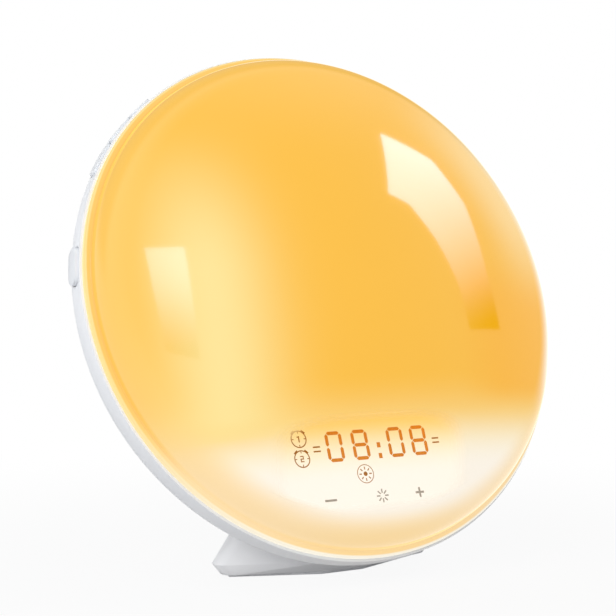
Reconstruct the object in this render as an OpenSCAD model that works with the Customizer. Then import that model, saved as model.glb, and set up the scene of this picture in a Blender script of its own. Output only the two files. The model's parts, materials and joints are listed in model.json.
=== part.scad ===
// Sunrise alarm clock: a domed light disc, leaning back on a flared pedestal foot.
// Row frame in millimetres: X right, -Y front, +Z up, origin at the middle of the foot pad.
// Head frame: origin at the middle of the lens lip, X right, Y up the disc, Z out of its front.

/* [Head] */
// Lean of the disc back from upright, in degrees
tilt = 21; // [15:1:24]
// Height of the lens lip's middle above the table
head_h = 90.5; // [90:0.5:96]
// Distance of the lens lip's middle in front of the foot pad's middle
head_front = 14.5; // [12:0.5:17]

/* [Lens] */
// Outer diameter of the lens lip
lens_d = 174; // [173:0.5:174.5]
// Width of the flat lip around the dome
lip_w = 2.3; // [2:0.1:2.6]
// Thickness of the lip
lip_t = 2.2; // [1.8:0.1:2.6]
// Height of the dome above the front of the lip
dome_h = 25; // [24:0.5:27]
// Radius of the dome's rounded edge
dome_edge_r = 12; // [11:0.5:13]
// Wall thickness of the lens
lens_wall = 2; // [1.8:0.1:2.2]

/* [Rear shell] */
// How far the rim band stands out past the lens lip
band_over = 0.8; // [0.7:0.1:1.5]
// Depth of the straight rim band behind the lip front
band_depth = 8; // [7.6:0.2:9]
// Radius from the band into the cone
band_edge_r = 6; // [5.5:0.5:7]
// Depth of the whole shell behind the lip front
bowl_depth = 40; // [39:0.5:42]
// Radius from the cone into the flat back
back_edge_r = 25; // [22:1:26]
// Wall thickness of the shell
shell_wall = 2.4; // [2.2:0.1:2.5]

/* [Display] */
// Height of one digit
digit_h = 9.8; // [9:0.1:10.4]
// Width of one digit
digit_w = 6.1; // [5.6:0.1:6.3]
// Width of one lit stroke
stroke_w = 1.15; // [1:0.05:1.3]
// Distance of the display face in front of the lip
display_z = 8.5; // [8:0.1:9]

/* [Speaker] */
// Outer diameter of the speaker's flange
speaker_d = 45; // [44:0.5:46]
// Height of the speaker's middle above the disc's middle
speaker_y = 22; // [21:0.5:23]
// Travel of the cone each way
cone_travel = 0.5; // [0.3:0.1:0.6]

/* [Keys] */
// How far the single key stands out of the rim band
key_proud = 1.2; // [1:0.1:1.4]
// How far the three keys of the row stand out of the rim band
row_proud = 0.7; // [0.5:0.1:0.9]
// Inward travel of each key
key_travel = 0.5; // [0.3:0.1:0.6]
// Width of a key across the band
key_w = 5.6; // [5:0.1:5.8]

/* [Foot] */
// Half width of the foot at its side corners
foot_half_w = 42; // [40:0.2:43]
// Height at which the foot is widest
foot_belt_h = 4.8; // [4.4:0.1:5.4]
// Wall thickness of the foot
foot_wall = 2.2; // [2:0.1:2.4]
// Thickness of the rubber foot pad
pad_t = 1.2; // [1:0.1:1.4]

/* [Fits] */
// Clearance between housings that plug together
fit = 0.3; // [0.25:0.05:0.35]
// Clearance around a key in its window
key_gap = 0.35; // [0.3:0.05:0.4]
// Radial clearance around a screw in its hole
screw_gap = 0.2; // [0.1:0.05:0.3]

/* [Hidden] */
$fn = 96;
eps = 0.01;

// Lens profile: a cap tangent to a rounded edge that ends at the lip's front
lens_r = lens_d / 2;
dome_r = lens_r - lip_w;
edge_c = dome_r - dome_edge_r;
cap_r = (dome_h * dome_h + edge_c * edge_c - dome_edge_r * dome_edge_r)
    / (2 * (dome_h - dome_edge_r));
cap_z = dome_h - cap_r;
lip_edge = 0.3;
skirt_t = 1.6;
skirt_len = 6;
band_r = lens_r + band_over;
skirt_r = band_r - shell_wall - fit;
bead = 0.5;
bead_z = -6.2;
bead_h = 1.2;
bead_span = 12;
bead_angles = [0, 45, 95, 205, 250, 310];

// Shell profile: band, 45 degree cone and flat back, joined by two rounds
cone_a = 45;
band_c = band_r - band_edge_r;
back_c = band_c + ((band_depth - bowl_depth + back_edge_r) * sin(cone_a) + band_edge_r
    - back_edge_r) / cos(cone_a);
back_in = -(bowl_depth - shell_wall);

// Pan and the parts that it carries
pan_wall = 1.6;
pan_z = -12;
pan_r = skirt_r - skirt_t - fit;
pan_floor_r = skirt_r - 14.1;
pan_rim_z = -3.4;
pan_screw_r = pan_floor_r - 7;
pan_screw_angles = [38, 112, 212, 328];
led_board_t = 1.2;
led_ring_r = 34;
led_board_in = 27;
led_board_out = 42.5;
led_screw_r = 39.4;
led_board_y = 12;
warm_count = 20;
colour_count = 10;
led_mount_angles = [33, 153, 273];

// Screws: shank radius, head radius and head height, and a hole that grips the shank
screw_r = 1.1;
head_r = 2.1;
screw_head_t = 1.5;
pilot_r = screw_r + 0.03;
boss_r = 3.2;

// Display: everything stands parallel to the disc
tower_y = -42.5;
tower_wall = 1.6;
tower_half = 40;
overlay_t = 1;
inlay_t = 0.5;
insert_t = 1.2;
insert_z = display_z - overlay_t - insert_t;
overlay_r = lens_r - 11;
housing_t = 5;
board_t = 1.2;
housing_x = [-33, 27];
housing_y = [-65.8, -45];
digit_y = -52.4;
digit_x = [-15.6, -6.1, 7.2, 16.1];
colon_x = 0.6;
colon_y = [-52.9, -56.4];
alarm_x = -28;
alarm_y = [-49.2, -55.5];
indicator_x = [-22.2, 22.6];
indicator_y = -52.8;
sun_pos = [-6.3, -61.8];
icon_r = 3.05;
icon_line = 0.36;
touch_pos = [[-20.6, -69.2], [-1.6, -69.2], [12.5, -69.2]];
touch_spring_r = 3;
arm_x = 5.6;
tower_screws = [[-35, -48], [34, -48], [arm_x, -70.6]];
post_at = [[-35, -48], [35, -48], [arm_x, -60]];
lead_hole = [-2.4, -50];
lead_hole_r = 3.5;
seg_gap = 0.28;
housing_z = display_z - overlay_t - housing_t;
board_z = housing_z - board_t;

// Main board and what stands on it
main_z = -24.4;
main_t = 1.6;
main_x = 40;
main_y = [-52, -3];
main_screws = [[-36, -47], [36, -47], [-36, -8], [36, -8]];
key_socket = [-34, -20];
led_socket = [-12, -9];
speaker_socket = [30, -12];
display_socket = [0, -47];
jack_pos = [-22, -32];
jack_body = [9, 10.4];
jack_bore_r = 3.2;
jack_pin_r = 1;
jack_collar_r = 5;
cell_pos = [16, -25];
cell_r = 10;
cell_t = 3.2;
door = [27, 24];
door_t = 1.6;

// Speaker, facing out of the back
flange_r = speaker_d / 2;
flange_z = back_in + 4;
flange_t = 1.2;
gasket_t = 1;
gasket_out = 18.4;
ring_in = 17.2;
ring_out = 19.2;
speaker_screw_r = 20.7;
grille_r = 18.6;
grille_open_r = 16.8;
grille_t = 1.2;
sound_hole_r = 1.5;
sound_pitch = 4.6;
sound_rings = 3;
cone_r = ring_in - 1.2;
cone_top = back_in + 10;
cap_dome_r = 8.8;
cap_dome_z = cone_top + 4.4;
paper_t = 0.4;
coil_in = 7.2;
coil_out = 7.7;
coil_len = 5.2 + 4 * cone_travel;
magnet_gap_in = 6.7;
magnet_gap_out = 8.2;
magnet_r = 13;
magnet_z = [-24.6, -17];

// Keys: one oval key at the side and a row of three above it
side_key_a = 171.3;
side_key_len = 12.4;
row_a = 138.8;
row_lens = [13.2, 12, 10];
row_at = [10.7, -2.3, -13.8];
key_z = -5.7;
key_in_r = band_r - 7.8;
flange_out = band_r - shell_wall - 0.7;
flange_in = flange_out - 1.4;
flange_extra = 0.9;
plunger_r = 1.7;
switch_top = key_in_r - key_travel - 0.5;
switch_h = 3.6;
switch_side = 6;
key_board_t = 1.2;
key_board_w = 8;
board_room = 1;
board_screw_in = 2.4;
boss_depth = 4;
lead_gap = 0.1;
key_board_r = switch_top - switch_h - key_board_t;

// Key boards: the angle on the rim and the half length of each
key_rows = [[side_key_a, 11], [row_a, 26]];

// Foot outline: six corners as [x, y behind the disc's middle], mirrored across X
corner_r = 4;
foot_front = [12.5, -11];
foot_side = [foot_half_w, 5];
foot_rear = [19, 37];
foot_inset = 3;
foot_top_h = head_h - 48.5;
foot_top = [[2.5, 4], [6.5, 9], [4, 19]];
front_screw_x = foot_half_w - 18.5;
foot_screw_at = [[-front_screw_x, -11], [front_screw_x, -11], [-10, 12.5], [10, 12.5]];
base_t = 2.4;
screw_seat_h = pad_t + screw_head_t;
seat_gap = 0.1;
base_z = pad_t;
neck_screw_x = 15;
neck_screw_y = -5;
neck_boss_r = 3.4;
neck_boss_h = head_h - 58;
neck_seat_h = head_h - 79.5;
neck_tip_h = head_h - 62.5;

// ---------- frames and small helpers ----------

module head() {
    translate([0, -head_front, head_h]) rotate([90 - tilt, 0, 0]) children();
}

// A place on the rim: X out along the slide axis, Y along the rim, Z to the front
module rim(a) {
    rotate([0, 0, a]) translate([0, 0, key_z]) children();
}

module bar(x0, x1, y0, y1, z0, z1) {
    translate([x0, y0, z0]) cube([x1 - x0, y1 - y0, z1 - z0]);
}

module tube(r_out, r_in, z0, z1) {
    difference() {
        translate([0, 0, z0]) cylinder(r = r_out, h = z1 - z0);
        translate([0, 0, z0 - 1]) cylinder(r = r_in, h = z1 - z0 + 2);
    }
}

// Self-tapping screw, its head's underside at the origin and its shank down Z
module screw(length) {
    translate([0, 0, -length]) cylinder(r = screw_r, h = length + eps);
    difference() {
        cylinder(r = head_r, h = screw_head_t);
        translate([0, 0, screw_head_t - 0.6]) {
            bar(-1.3, 1.3, -0.25, 0.25, 0, 2);
            bar(-0.25, 0.25, -1.3, 1.3, 0, 2);
        }
    }
}

// Stadium outline across the band, its length along the rim
module stadium(length, width) {
    hull_len = length - width;
    square([width, hull_len], center = true);
    for (s = [-1, 1]) translate([0, s * hull_len / 2]) circle(d = width);
}

// Direction from point i to the next one, or to the one before at the end
function way(p, i) = let (j = min(i, len(p) - 2), v = p[j + 1] - p[j]) v / norm(v);

// A wire through a list of points, as one eight-sided tube
module wire(points, r = 0.5) {
    sides = 8;
    n = len(points) - 1;
    rings = [for (i = [0 : n]) let (
            d = way(points, i) + way(points, max(i - 1, 0)), t = d / norm(d),
            u = cross(t, [0.13, 1, 0.07]), v = cross(t, u / norm(u)))
        for (k = [0 : sides - 1]) let (q = 360 * k / sides)
            points[i] + r * (cos(q) * u / norm(u) + sin(q) * v)];
    sidewalls = [for (i = [0 : n - 1], k = [0 : sides - 1]) let (m = (k + 1) % sides)
        [i * sides + k, i * sides + m, (i + 1) * sides + m, (i + 1) * sides + k]];
    polyhedron(rings, concat(sidewalls, [[for (k = [sides - 1 : -1 : 0]) k],
        [for (k = [0 : sides - 1]) n * sides + k]]));
}

// ---------- profiles ----------

// The dome's section from its axis, shrunk all round by i
module dome_area(i) {
    tan_r = edge_c * (cap_r - i) / (cap_r - dome_edge_r);
    intersection() {
        translate([0, cap_z]) circle(r = cap_r - i, $fn = 240);
        square([tan_r, dome_h + 1]);
    }
    intersection() {
        translate([edge_c, 0]) circle(r = dome_edge_r - i);
        translate([edge_c - eps, 0]) square([dome_edge_r + 1, dome_edge_r + 1]);
    }
}

// A slice of a disc between two directions
module pie(centre, r, from, to) {
    mid = (from + to) / 2;
    translate(centre) intersection() {
        circle(r = r);
        polygon([for (q = [[0, 0], [2 * r, from], [2 * r, mid], [2 * r, to]])
            q[0] * [cos(q[1]), sin(q[1])]]);
    }
}

// The shell's outer section from its axis
module shell_area() {
    back_z = back_edge_r - bowl_depth;
    polygon([
        [0, -lip_t], [band_r, -lip_t], [band_r, -band_depth], [band_c, -band_depth],
        [band_c + band_edge_r * cos(cone_a), -band_depth - band_edge_r * sin(cone_a)],
        [back_c + back_edge_r * cos(cone_a), back_z - back_edge_r * sin(cone_a)],
        [back_c, back_z], [back_c, -bowl_depth], [0, -bowl_depth]]);
    pie([band_c, -band_depth], band_edge_r, -cone_a, 0);
    pie([back_c, back_z], back_edge_r, -90, -cone_a);
}

// The same section as straight steps, grown by i, from a front height
function shell_steps(i, front) = let (
        e1 = band_edge_r + i, e2 = back_edge_r + i, z2 = back_edge_r - bowl_depth)
    concat([[0, front], [band_r + i, front]],
        [for (q = [0 : 9 : cone_a]) [band_c + e1 * cos(q), -band_depth - e1 * sin(q)]],
        [for (q = [cone_a : 5 : 90]) [back_c + e2 * cos(q), z2 - e2 * sin(q)]],
        [[0, z2 - e2]]);

// The room inside the shell and a share of its wall, for what stands on the wall
module shell_body(i) {
    rotate_extrude() polygon(shell_steps(-i, 1));
}

// ---------- head: lens and shell ----------

// Room in the skirt and the pan for the keys and their switches
module key_room(r0, r1, z0, z1) {
    for (k = key_rows) rotate([0, 0, k[0]])
        bar(r0, r1, -k[1] - board_room, k[1] + board_room, z0, z1);
}

module front_lens() {
    color([0.99, 0.8, 0.42]) head() {
        rotate_extrude() difference() {
            dome_area(0);
            dome_area(lens_wall);
        }
        rotate_extrude() polygon([
            [dome_r - lens_wall, -lip_t], [lens_r, -lip_t], [lens_r, -lip_edge],
            [lens_r - lip_edge, 0], [dome_r - lens_wall, 0]]);
        difference() {
            union() {
                tube(skirt_r, skirt_r - skirt_t, -lip_t - skirt_len, -lip_t + eps);
                for (a = bead_angles) rotate([0, 0, a - bead_span / 2])
                    rotate_extrude(angle = bead_span) translate([skirt_r - eps, bead_z - bead_h / 2])
                        square([bead + eps, bead_h]);
            }
            key_room(60, 90, -20, -lip_t - 0.4);
        }
    }
}

// Everything that the shell's inside carries, before it is trimmed to the wall
module shell_bosses() {
    for (a = pan_screw_angles) rotate([0, 0, a]) translate([pan_screw_r, 0, -bowl_depth])
        cylinder(r = boss_r, h = bowl_depth + pan_z - pan_wall);
    for (p = main_screws) translate([p[0], p[1], -bowl_depth])
        cylinder(r = boss_r, h = bowl_depth + main_z - main_t);
    translate([0, speaker_y, 0]) {
        tube(ring_out, ring_in, -bowl_depth, flange_z - gasket_t);
        for (a = [45 : 90 : 315]) rotate([0, 0, a]) translate([speaker_screw_r, 0, -bowl_depth])
            cylinder(r = 2.2, h = bowl_depth + flange_z);
    }
    translate([cell_pos[0], cell_pos[1], -bowl_depth])
        cylinder(r = cell_r + 2.4, h = door_t + cell_t + 3.4);
    for (k = key_rows, s = [-1, 1]) rotate([0, 0, k[0]]) translate([0, s * (k[1] - board_screw_in), 0])
        bar(key_board_r - boss_depth, key_board_r, -board_screw_in, board_screw_in, -30,
            key_z + key_board_w / 2);
}

// The row of three key windows merges into one, with the single one apart
module key_windows(grow) {
    rim(side_key_a) rotate([0, 90, 0]) linear_extrude(height = 100)
        stadium(side_key_len + 2 * grow, key_w + 2 * grow);
    for (i = [0 : 2]) rim(row_a) translate([0, row_at[i], 0]) rotate([0, 90, 0])
        linear_extrude(height = 100) stadium(row_lens[i] + 2 * grow, key_w + 2 * grow);
}

module rear_shell() {
    color([0.93, 0.93, 0.93]) {
        difference() {
            union() {
                head() rotate_extrude() difference() {
                    shell_area();
                    polygon(shell_steps(-shell_wall, 1));
                }
                head() intersection() {
                    shell_bosses();
                    shell_body(shell_wall / 2);
                }
                intersection() {
                    for (s = [-1, 1]) translate([s * neck_screw_x, neck_screw_y, 0])
                        cylinder(r = neck_boss_r, h = neck_boss_h);
                    head() shell_body(shell_wall / 2);
                }
            }
            for (s = [-1, 1]) translate([s * neck_screw_x, neck_screw_y, 0])
                cylinder(r = pilot_r, h = neck_tip_h + 1.5);
            head() shell_cuts();
        }
    }
}

module shell_cuts() {
    for (a = pan_screw_angles) rotate([0, 0, a]) translate([pan_screw_r, 0, pan_z - pan_wall - 9])
        cylinder(r = pilot_r, h = 10);
    for (p = main_screws) translate([p[0], p[1], main_z - main_t - 7]) cylinder(r = pilot_r, h = 8);
    translate([0, speaker_y, 0]) {
        for (a = [45 : 90 : 315]) rotate([0, 0, a]) translate([speaker_screw_r, 0, back_in])
            cylinder(r = pilot_r, h = 9);
        // Opening of the speaker, with a seat for its grille
        translate([0, 0, -bowl_depth - 1]) cylinder(r = grille_open_r, h = 5);
        translate([0, 0, -bowl_depth - 1]) cylinder(r = grille_r + fit / 2, h = grille_t + 1);
    }
    // Snap grooves for the lens
    for (a = bead_angles) rotate([0, 0, a - bead_span / 2 - 1]) rotate_extrude(angle = bead_span + 2)
        translate([band_r - shell_wall - 1, bead_z - bead_h / 2 - 0.2])
            square([1 + bead - fit + 0.3, bead_h + 0.4]);
    key_windows(key_gap);
    for (k = key_rows, s = [-1, 1]) rim(k[0])
        translate([key_board_r - boss_depth - 1, s * (k[1] - board_screw_in), 0]) rotate([0, 90, 0])
            cylinder(r = pilot_r, h = boss_depth + 2);
    // Inlet hole
    translate([jack_pos[0], jack_pos[1], -bowl_depth - 1]) cylinder(r = jack_collar_r + 0.2, h = 5);
    // Battery bay and the recess of its door
    translate([cell_pos[0], cell_pos[1], 0]) {
        bar(-door[0] / 2 - fit, door[0] / 2 + fit, -door[1] / 2 - fit, door[1] / 2 + fit,
            -bowl_depth - 1, -bowl_depth + door_t + 0.1);
        translate([0, 0, -bowl_depth]) cylinder(r = cell_r + fit, h = door_t + cell_t + 1.3);
    }
}

// Perforated disc in the back, its holes in rings around the middle one
module speaker_grille() {
    color([0.9, 0.9, 0.91]) head() translate([0, speaker_y, -bowl_depth]) difference() {
        cylinder(r = grille_r, h = grille_t);
        translate([0, 0, -1]) cylinder(r = sound_hole_r, h = 5);
        for (k = [1 : sound_rings], a = [0 : 6 * k - 1]) rotate([0, 0, a * 60 / k])
            translate([sound_pitch * k, 0, -1]) cylinder(r = sound_hole_r, h = 5);
    }
}

module reflector_pan() {
    color([0.97, 0.97, 0.95]) head() difference() {
        rotate_extrude() polygon([
            [0, pan_z], [pan_floor_r, pan_z], [pan_r - 2, pan_rim_z], [pan_r, pan_rim_z],
            [pan_r, pan_rim_z - pan_wall], [pan_r - 1, pan_rim_z - pan_wall],
            [pan_floor_r + 0.8, pan_z - pan_wall], [0, pan_z - pan_wall]]);
        key_room(key_board_r - boss_depth - 0.4, 90, pan_z - 5, 5);
        for (a = pan_screw_angles) rotate([0, 0, a]) translate([pan_screw_r, 0, pan_z - 3])
            cylinder(r = screw_r + screw_gap, h = 5);
        for (a = led_mount_angles) translate([0, led_board_y, 0]) rotate([0, 0, a])
            translate([led_screw_r, 0, pan_z - 3]) cylinder(r = pilot_r, h = 5);
        for (p = post_at) translate([p[0], p[1], pan_z - 3]) cylinder(r = screw_r + screw_gap, h = 5);
        translate([lead_hole[0], lead_hole[1], pan_z - 3]) cylinder(r = lead_hole_r, h = 5);
        translate([0, led_board_y - led_ring_r, pan_z - 3]) cylinder(r = 2.5, h = 5);
    }
}

// ---------- head: light ----------

module led_board() {
    color([0.9, 0.92, 0.9]) head() translate([0, led_board_y, 0]) difference() {
        tube(led_board_out, led_board_in, pan_z, pan_z + led_board_t);
        for (a = led_mount_angles) rotate([0, 0, a]) translate([led_screw_r, 0, pan_z - 1])
            cylinder(r = screw_r + screw_gap, h = 5);
    }
}

module led_chips(count, start, size, h) {
    for (i = [0 : count - 1]) translate([0, led_board_y, 0]) rotate([0, 0, start + i * 360 / count])
        translate([led_ring_r, 0, pan_z + led_board_t]) translate([-size[0] / 2, -size[1] / 2, 0])
            cube([size[0], size[1], h]);
}

module led_chips_warm() {
    color([1, 0.85, 0.45]) head() led_chips(warm_count, 6, [3.5, 2.8], 0.8);
}

module led_chips_colour() {
    color([0.98, 0.98, 0.96]) head() led_chips(colour_count, 15, [5, 5], 1.5);
}

module led_board_screws() {
    color([0.75, 0.75, 0.78]) head() for (a = led_mount_angles) translate([0, led_board_y, 0])
        rotate([0, 0, a]) translate([led_screw_r, 0, pan_z + led_board_t]) screw(led_board_t + pan_wall);
}

module pan_screws() {
    color([0.75, 0.75, 0.78]) head() for (a = pan_screw_angles) rotate([0, 0, a])
        translate([pan_screw_r, 0, pan_z]) screw(8);
}

// ---------- head: display ----------

// Screen wall along a chord, with two posts and a bridge that carry the display
module display_tower() {
    color([0.96, 0.96, 0.94]) head() difference() {
        union() {
            intersection() {
                bar(-62, 62, tower_y, tower_y + tower_wall, pan_z, dome_h);
                rotate_extrude() union() {
                    dome_area(lens_wall + 1.2);
                    translate([0, pan_z]) square([70, -pan_z + eps]);
                }
            }
            bar(-tower_half, tower_half, tower_y - 8.5, tower_y + eps, board_z - 4, board_z);
            for (s = [-1, 1]) bar(s * 35 - 3, s * 35 + 3, tower_y - 8.5, tower_y + eps, pan_z, board_z);
            bar(arm_x - 4.6, arm_x + 4.6, -74.4, tower_y + eps, board_z - 4, board_z - 2);
            bar(arm_x - 4.6, arm_x + 4.6, -74.4, -67, board_z - 2.1, board_z);
            bar(arm_x - 5, arm_x + 5, -66, -54, pan_z, board_z - 2);
        }
        for (p = tower_screws) translate([p[0], p[1], board_z - 7]) cylinder(r = pilot_r, h = 8);
        for (p = post_at) translate([p[0], p[1], pan_z - 1]) cylinder(r = pilot_r, h = 6);
    }
}

module segment_bar(length) {
    w = stroke_w / 2;
    l = length / 2;
    polygon([[-l, 0], [-l + w, w], [l - w, w], [l, 0], [l - w, -w], [-l + w, -w]]);
}

// The seven strokes of one digit, in the order top, middle, bottom, then the four sides
module digit_outline(grow = 0) {
    dx = digit_w - stroke_w;
    dy = (digit_h - stroke_w) / 2;
    for (j = [-1 : 1]) translate([0, j * dy]) segment_bar(dx - seg_gap + grow);
    for (sx = [-1, 1], sy = [-1, 1]) translate([sx * dx / 2, sy * dy / 2]) rotate(90)
        segment_bar(dy - seg_gap + grow);
}

module digits_area() {
    for (x = digit_x) translate([x, digit_y]) digit_outline();
    for (y = colon_y) translate([colon_x, y]) square([1.3, 1.7], center = true);
}

module numeral_one() {
    translate([-0.15, -1]) square([0.42, 2]);
    translate([-0.6, 0.52]) square([0.5, 0.34]);
}

module numeral_two() {
    for (y = [-0.83, 0, 0.83]) translate([-0.62, y - 0.17]) square([1.24, 0.34]);
    translate([0.28, 0]) square([0.34, 0.83]);
    translate([-0.62, -0.83]) square([0.34, 0.83]);
}

// Round clock mark with two bells
module alarm_outline() {
    difference() {
        circle(r = icon_r - 0.25);
        circle(r = icon_r - 0.25 - icon_line);
    }
    for (a = [0 : 90 : 270]) rotate(a) translate([icon_r - 1.25, -0.15]) square([0.7, 0.3]);
    for (a = [50, 130]) rotate(a) translate([icon_r - 0.35, -0.75]) square([0.5, 1.5]);
}

module sun_rays(from, to, line) {
    for (a = [0 : 45 : 315]) rotate(a) translate([from, -line / 2]) square([to - from, line]);
}

module icons_area() {
    for (i = [0, 1]) translate([alarm_x, alarm_y[i]]) {
        alarm_outline();
        if (i == 0) numeral_one(); else numeral_two();
    }
    translate(sun_pos) {
        difference() {
            circle(r = icon_r);
            circle(r = icon_r - 0.25);
        }
        circle(r = 0.24 * icon_r, $fn = 32);
        sun_rays(0.45 * icon_r, 0.75 * icon_r, icon_line);
    }
    // Two plain indicator bars on each side of the digits
    for (x = indicator_x, k = [-1, 1]) translate([x, indicator_y + 0.7 * k])
        square([2.6, 0.5], center = true);
}

// The touch marks under the digits: minus, sun and plus
module marks_area() {
    translate(touch_pos[0]) square([4.3, 0.7], center = true);
    translate(touch_pos[1]) sun_rays(0.85, 2.2, 0.45);
    translate(touch_pos[2]) {
        square([3.2, 0.7], center = true);
        for (s = [-1, 1]) translate([0, s * 0.975]) square([0.7, 1.25], center = true);
    }
}

// Face plate below the screen wall, open for the digits and recessed for icons and marks
module display_overlay() {
    color([0.99, 0.96, 0.88]) head() difference() {
        translate([0, 0, display_z - overlay_t]) linear_extrude(height = overlay_t) difference() {
            intersection() {
                circle(r = overlay_r);
                translate([-overlay_r, tower_y - fit - overlay_r]) square([2 * overlay_r, overlay_r]);
            }
            digits_area();
        }
        translate([0, 0, display_z - inlay_t]) linear_extrude(height = inlay_t + 1) {
            icons_area();
            marks_area();
        }
    }
}

module display_housing() {
    color([0.95, 0.95, 0.93]) head() difference() {
        bar(housing_x[0], housing_x[1], housing_y[0], housing_y[1], housing_z, housing_z + housing_t);
        translate([0, 0, housing_z - 1]) linear_extrude(height = housing_t + 2) digits_area();
        for (p = tower_screws) translate([p[0], p[1], housing_z - 1]) cylinder(r = 2.6, h = 9);
    }
}

module digit_segments() {
    color([0.95, 0.5, 0.1]) head() translate([0, 0, insert_z])
        linear_extrude(height = insert_t + overlay_t) digits_area();
}

module icon_inserts() {
    color([0.85, 0.5, 0.15]) head() translate([0, 0, display_z - inlay_t])
        linear_extrude(height = inlay_t) icons_area();
}

module touch_marks() {
    color([0.5, 0.44, 0.36]) head() translate([0, 0, display_z - inlay_t])
        linear_extrude(height = inlay_t) marks_area();
}

module display_leds() {
    dx = digit_w - stroke_w;
    dy = (digit_h - stroke_w) / 2;
    color([0.98, 0.8, 0.5]) head() {
        for (x = digit_x, j = [-1 : 1]) bar(x - 0.6, x + 0.6, digit_y + j * dy - 0.3,
            digit_y + j * dy + 0.3, housing_z, housing_z + 0.7);
        for (x = digit_x, sx = [-1, 1], sy = [-1, 1]) bar(x + sx * dx / 2 - 0.3, x + sx * dx / 2 + 0.3,
            digit_y + sy * dy / 2 - 0.6, digit_y + sy * dy / 2 + 0.6, housing_z, housing_z + 0.7);
    }
}

module display_board() {
    color([0.12, 0.4, 0.22]) head() difference() {
        bar(-38, 38, -74, tower_y - 0.5, board_z, board_z + board_t);
        for (p = tower_screws) translate([p[0], p[1], board_z - 1])
            cylinder(r = screw_r + screw_gap, h = 5);
        for (s = [-1, 1]) translate([s * 38, -74, 0]) rotate([0, 0, 45])
            translate([-8, -8, -20]) cube([16, 16, 40]);
    }
}

module display_screws() {
    color([0.75, 0.75, 0.78]) head() for (p = tower_screws) translate([p[0], p[1], board_z + board_t])
        screw(4);
}

// Coil springs that reach from the board to the touch marks
function coil_point(r, turns, h, t) = [r * cos(360 * turns * t), r * sin(360 * turns * t), h * t];
module touch_springs() {
    sides = 6;
    turns = 3;
    steps = 36;
    wire_r = 0.4;
    h = housing_t - 2 * wire_r;
    color([0.8, 0.72, 0.45]) head() for (p = touch_pos)
        translate([p[0], p[1] - 0.4, board_z + board_t + wire_r]) {
            pts = [for (i = [0 : steps], k = [0 : sides - 1]) let (
                    t = i / steps, a = 360 * turns * t, q = 360 * k / sides,
                    c = coil_point(touch_spring_r - 0.8 * t, turns, h, t))
                c + wire_r * [cos(q) * cos(a), cos(q) * sin(a), sin(q)]];
            sidewalls = [for (i = [0 : steps - 1], k = [0 : sides - 1]) let (n = (k + 1) % sides)
                [i * sides + k, (i + 1) * sides + k, (i + 1) * sides + n, i * sides + n]];
            polyhedron(pts, concat(sidewalls, [[for (k = [0 : sides - 1]) k],
                [for (k = [sides - 1 : -1 : 0]) steps * sides + k]]));
        }
}

// ---------- head: electronics behind the pan ----------

module main_board() {
    color([0.1, 0.36, 0.2]) head() difference() {
        bar(-main_x, main_x, main_y[0], main_y[1], main_z - main_t, main_z);
        for (p = main_screws) translate([p[0], p[1], main_z - 4])
            cylinder(r = screw_r + screw_gap, h = 6);
    }
}

module main_board_screws() {
    color([0.75, 0.75, 0.78]) head() for (p = main_screws) translate([p[0], p[1], main_z])
        screw(6);
}

module ic_packages() {
    color([0.13, 0.13, 0.14]) head() {
        bar(-5, 5, -31, -21, main_z, main_z + 1.4);
        bar(16, 22, -20, -15, main_z, main_z + 1.6);
        bar(-26, -21, -18, -14, main_z, main_z + 1.6);
        bar(20, 24, -42, -37, main_z, main_z + 1.2);
    }
}

module capacitors() {
    color([0.2, 0.22, 0.3]) head() for (c = [[-30, -30, 4, 8], [-14, -44, 3.1, 7], [10, -44, 3.1, 7],
        [28, -28, 2.5, 5.4], [8, -10, 2.5, 5.4]])
        translate([c[0], c[1], main_z]) cylinder(r = c[2], h = c[3]);
}

module board_sockets() {
    color([0.94, 0.92, 0.85]) head() {
        for (p = [key_socket, led_socket, speaker_socket, display_socket]) translate([p[0], p[1], main_z])
            difference() {
                bar(-4, 4, -2.6, 2.6, 0, 5.6);
                bar(-3.2, 3.2, -1.8, 1.8, 1.2, 6);
            }
    }
}

// ---------- head: speaker ----------

module speaker_frame() {
    color([0.35, 0.36, 0.38]) head() translate([0, speaker_y, 0]) difference() {
        rotate_extrude() polygon([
            [ring_in, flange_z], [flange_r, flange_z], [flange_r, flange_z + flange_t],
            [ring_in + 1.2, flange_z + flange_t], [magnet_r, magnet_z[0]],
            [magnet_gap_out, magnet_z[0]], [magnet_gap_out, magnet_z[0] - 1],
            [magnet_r - 1, magnet_z[0] - 1]]);
        for (a = [45 : 90 : 315]) rotate([0, 0, a]) {
            translate([speaker_screw_r, 0, flange_z - 1]) cylinder(r = screw_r + screw_gap, h = 5);
            rotate([0, 0, 45]) bar(magnet_r + 0.2, ring_in + 0.2, -4, 4, flange_z + 2, magnet_z[0] - 1.4);
        }
    }
}

module speaker_magnet() {
    color([0.28, 0.28, 0.3]) head() translate([0, speaker_y, 0]) {
        tube(magnet_r, magnet_gap_out, magnet_z[0], magnet_z[1] - 2);
        translate([0, 0, magnet_z[1] - 2]) cylinder(r = magnet_r, h = 2);
        translate([0, 0, magnet_z[0]]) cylinder(r = magnet_gap_in, h = magnet_z[1] - magnet_z[0] - 1);
    }
}

module speaker_gasket() {
    color([0.2, 0.2, 0.2]) head() translate([0, speaker_y, 0])
        tube(gasket_out, ring_in, flange_z - gasket_t, flange_z);
}

module speaker_screws() {
    color([0.75, 0.75, 0.78]) head() translate([0, speaker_y, 0]) for (a = [45 : 90 : 315])
        rotate([0, 0, a]) translate([speaker_screw_r, 0, flange_z + flange_t]) screw(4);
}

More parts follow.
